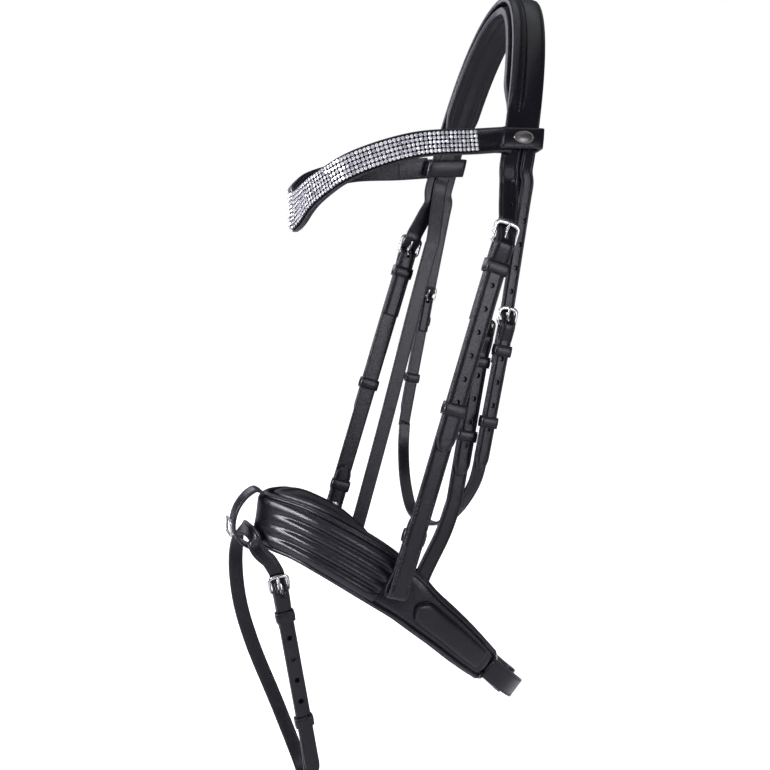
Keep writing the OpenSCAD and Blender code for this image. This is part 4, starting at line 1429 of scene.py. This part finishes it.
def grooves(x, at, half, depth):
    """Two seam grooves, one each side of a pad's middle."""
    return -depth * (math.exp(-((x - at) / half) ** 2) + math.exp(-((x + at) / half) ** 2))


def headpiece_pad():
    """Padding under the crown: a flat channel for the noseband strap between two long seams."""
    line = strip("headpiece_padding").smooth(4.0)
    s = line.length()
    line.width = line.width * (1 - 0.3 * (1 - ease(s, 0, 26) * ease(s[-1] - s, 0, 26)))
    line.thick = line.thick * (0.96 - 0.4 * (1 - ease(s, 0, 14) * ease(s[-1] - s, 0, 14)))
    section = pad_section(22, lambda v: -0.9 * v * v,
                          lambda v: grooves(v, 0.5, 0.06, 1.9) - 7.8 * max(0.0, abs(v) - 0.6) ** 2)
    pad_piece("headpiece_padding_quilted", "headpiece_padding", line, section,
              lambda e: e[2] > 0.5 or abs(abs(e[0]) - 0.5) < 0.06 or abs(e[0]) < 0.05, 1.1, pressure=5.0)


def noseband_lining_pad():
    """Soft lining inside the noseband, fuller between its two edge seams."""
    line = strip("noseband_lining", UP).smooth(4.5)

    def bottom(v):
        return grooves(v, 0.8, 0.05, 1.6) + 0.6 * (1 - v * v) - 8.4 * max(0, abs(v) - 0.85)

    pad_piece("noseband_lining_padded", "noseband_lining", line,
              pad_section(26, lambda v: -0.5 * abs(v) ** 6, bottom),
              lambda e: e[2] > 0.5 or abs(abs(e[0]) - 0.8) < 0.05, 1.6)


def front_panel_pad():
    """Raised panel over the nose: smooth and dished in the middle, three deep channels along each side."""
    line = strip("noseband_front_panel", UP).smooth(3.5)
    s = line.length()
    mid = np.abs(s - s[-1] / 2) / (s[-1] / 2)
    channel = ease(mid, 0.12, 0.45)
    dish = 1 - ease(mid, 0.0, 0.5)
    ends = 1 - ease(mid, 0.965, 1.0) * 0.5

    def shift(i, share, up):
        if up < 0.9:
            return 0.0
        deep = sum(math.exp(-((share - c) / 0.075) ** 2) for c in (-0.5, 0.0, 0.5))
        lobes = 0.9 * abs(math.cos(math.pi * share * 2 + math.pi / 2)) ** 0.5 if abs(share) < 1 else 0
        return float(ends[i] * channel[i] * (lobes * 1.9 - 2.4 * deep) - dish[i] * 1.2 * (1 - share * share)
                     + (1 - channel[i]) * 0.9)

    pad_piece("noseband_front_panel_ridged", "noseband_front_panel", line,
              pad_section(34, lambda v: -1.6 * abs(v) ** 8, lambda v: 0.0),
              lambda e: e[2] < 0.5 or min(abs(e[0]), abs(abs(e[0]) - 0.5)) < 0.07, 1.3,
              shift=shift, pressure=5.0, soft=False)


def side_panel_pad(side):
    """Raised pad on the noseband's side arm, round at the front and square behind."""
    node = "noseband_side_panel_" + side
    line = strip(node, UP).smooth(2.5)
    if line.c[0][1] > line.c[-1][1]:
        line = line.flipped()
    s = line.length()
    front = np.sqrt(np.clip(1 - ((10 - np.minimum(s, 10)) / 10) ** 2, 0.05, 1))
    line.width = line.width * front
    section = pad_section(18, lambda v: 1.7 * (1 - v * v) ** 0.8 - 1.6 * abs(v) ** 8, lambda v: 0.0)
    pad_piece(node + "_raised", node, line, section, lambda e: e[2] < 0.5 or abs(e[0]) > 0.93, 1.1,
              pressure=5.0, soft=False)


def chin_pad_piece():
    """Chin pad on the crank strap: a plump pad with a seam along each edge."""
    line = strip("chin_pad", UP).smooth(3.0)
    s = line.length()
    taper = np.sqrt(np.clip(1 - (np.abs(s - s[-1] / 2) / (s[-1] / 2)) ** 8, 0.12, 1))
    line.width, line.thick = line.width * (0.75 + 0.25 * taper), line.thick * (0.6 + 0.4 * taper)

    def bottom(v):
        return grooves(v, 0.76, 0.06, 1.4) + 0.4 * (1 - v * v) - 1.2 * abs(v) ** 8

    pad_piece("chin_pad_padded", "chin_pad", line, pad_section(20, lambda v: -0.5 * abs(v) ** 6, bottom),
              lambda e: e[2] > 0.5 or abs(abs(e[0]) - 0.76) < 0.06, 1.6)


def brow_lining_pad():
    """Soft backing of the browband with a turned and stitched edge."""
    line = strip("browband_lining", UP).smooth(4.0)
    section = pad_section(14, lambda v: 0.0, lambda v: 0.35 * (1 - v * v) + grooves(v, 0.78, 0.06, 0.3))
    pad_piece("browband_lining_turned", "browband_lining", line, section,
              lambda e: e[2] > 0 or abs(e[0]) > 0.7, 0.5, edge_rows(line, 2.0, -0.1))


def crank_piece():
    raw = strip("crank_strap", UP)
    line = raw.smooth()
    obj = make_strap("crank_strap_run", line, edge_rows(trimmed(line, 3, 12), 1.9), groups=raw.groups)
    finish_piece(obj, ["crank_strap"], "noseband")


def chape_piece():
    """Short fold of leather that holds the crank buckle."""
    place, node, thick = SETS["crank"], "crank_chape", 1.7
    points = place.node_points(node)
    flat = points[points[:, 2] < -6]
    back, low = middle_of(flat)[0], points[:, 2].min()
    radius = wire_radius("crank") + BAR_GAP + thick / 2
    stations = [(back, low), (back, low * 0.6), (back, -9), (back * 0.95, -5), (-radius, -1.5)]
    stations += over_bar(radius)
    stations += [(radius * 0.9, -1.8), (0.6, -4.0), (-0.7, -7.0), (-1.1, -10.0), (-1.15, -13.0)]
    line = place.run(stations, 2 * np.abs(flat[:, 1]).max(), thick).smooth()
    obj = make_strap("crank_chape_fold", line, edge_rows(trimmed(line, 2, 0).take(slice(0, 10)), 1.8),
                     cutter=eye_cutter(place, low=-3.0))
    finish_piece(obj, [node], "noseband")


def flash_tab_piece():
    line = strip("flash_tab").from_end(np.array([0, -219.0, -390])).smooth(1.8)
    obj = make_strap("flash_tab_strap", line, edge_rows(line, 1.8))
    finish_piece(obj, ["flash_tab"], "noseband")


def flash_piece():
    """Flash strap: its buckle end, the loop through the dee pressed down towards it, and its billet."""
    line = with_billet(eyed_line("flash_strap", "flash", 30), "flash", "flash_strap")
    above = line.c[:, 2] - FLASH_LOOP_FOOT
    line.c[:, 2] -= np.where(above > 0, above * FLASH_LOOP_PRESS, 0)
    line = line.smooth()
    obj = make_strap("flash_strap_run", line, seam_rows(line, line.length()),
                     groups=strip("flash_strap").groups, cutter=eye_cutter(SETS["flash"]))
    finish_piece(obj, ["flash_strap"], "flash")


# ---------------------------------------------------------------- build everything
headpiece_piece()
for word in ("left", "right"):
    billet_piece("cheek_billet_" + word, "cheek_" + word, JOINT["cheek_swing_" + word], 1)
    billet_piece("throat_billet_" + word, "throat_" + word, JOINT["throatlash_swing"], -1)
    cheekpiece_piece(word)
    stud_piece(word)
    side_panel_pad(word)
    ring_piece("end_ring_" + word)
browband_piece()
crystals_piece()
brow_lining_pad()
rosettes_piece()
headstrap_piece()
hanger_piece()
throatlash_piece()
noseband_piece()
noseband_lining_pad()
front_panel_pad()
headpiece_pad()
crank_piece()
chape_piece()
chin_pad_piece()
flash_tab_piece()
flash_piece()
ring_piece("flash_tab_dee")
for key in SETS:
    buckle_piece(key)
    prong_piece(key)
    for kind in ("keeper", "runner"):
        if part_of(key, kind) in BODY:
            keeper_piece(key, part_of(key, kind))
for word in ("left", "right"):
    keeper_piece("cheek_" + word, "bit_keeper_" + word, under=STRAP_T)


# ---------------------------------------------------------------- studio
def studio():
    """Pale floor, white backdrop, a wide overhead light, four softboxes and the camera."""
    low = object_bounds()[0][2] - 0.03
    work = bmesh.new()
    bmesh.ops.create_grid(work, x_segments=24, y_segments=24, size=6.0)
    for v in work.verts:
        v.co.z = low
    mesh = bpy.data.meshes.new("studio_floor")
    work.to_mesh(mesh)
    work.free()
    mesh.materials.append(plaster("studio_paint", (0.86, 0.86, 0.87)))
    in_scene(bpy.data.objects.new("studio_floor", mesh))
    world = bpy.data.worlds.new("studio_air")
    world.use_nodes = True
    tree = world.node_tree
    air, seen = tree.nodes["Background"], tree.nodes.new("ShaderNodeBackground")
    air.inputs["Color"].default_value = (0.80, 0.87, 1.0, 1)
    air.inputs["Strength"].default_value = 0.12
    seen.inputs["Color"].default_value = (1, 1, 1, 1)
    paths, mix = tree.nodes.new("ShaderNodeLightPath"), tree.nodes.new("ShaderNodeMixShader")
    tree.links.new(paths.outputs["Is Camera Ray"], mix.inputs[0])
    tree.links.new(air.outputs[0], mix.inputs[1])
    tree.links.new(seen.outputs[0], mix.inputs[2])
    tree.links.new(mix.outputs[0], tree.nodes["World Output"].inputs["Surface"])
    bpy.context.scene.world = world
    middle = Vector((0, -0.1, -0.3))
    sun = bpy.data.lights.new("ceiling", "SUN")
    sun.energy, sun.angle = 0.7, math.radians(70)
    in_scene(bpy.data.objects.new("ceiling", sun))
    lamps = [("key_softbox", (1.5, -0.9, 0.7), 0.6, 11), ("front_softbox", (0.1, -1.7, 0.2), 0.5, 32),
             ("side_softbox", (1.5, 0.5, -0.2), 0.5, 6), ("far_softbox", (-1.7, -0.5, 0.5), 0.8, 5)]
    for label, spot, size, power in lamps:
        lamp = bpy.data.lights.new(label, "AREA")
        lamp.shape, lamp.size, lamp.energy = "SQUARE", size, power
        lamp.color = (0.93, 0.91, 1.0)
        obj = in_scene(bpy.data.objects.new(label, lamp))
        obj.location = spot
        obj.rotation_euler = (middle - Vector(spot)).to_track_quat("-Z", "Y").to_euler()
    camera = bpy.data.cameras.new("camera")
    camera.lens, camera.sensor_width = 45.82, 36
    eye = in_scene(bpy.data.objects.new("camera", camera))
    pitch, turn = math.radians(5.54), math.radians(18)
    ahead = Vector((-math.cos(turn) * math.cos(pitch), math.sin(turn) * math.cos(pitch), -math.sin(pitch)))
    eye.location = (0.77529, -0.36584, -0.22679)
    eye.rotation_euler = ahead.to_track_quat("-Z", "Y").to_euler()
    bpy.context.scene.camera = eye
    bpy.context.scene.view_settings.view_transform = "Standard"


studio()
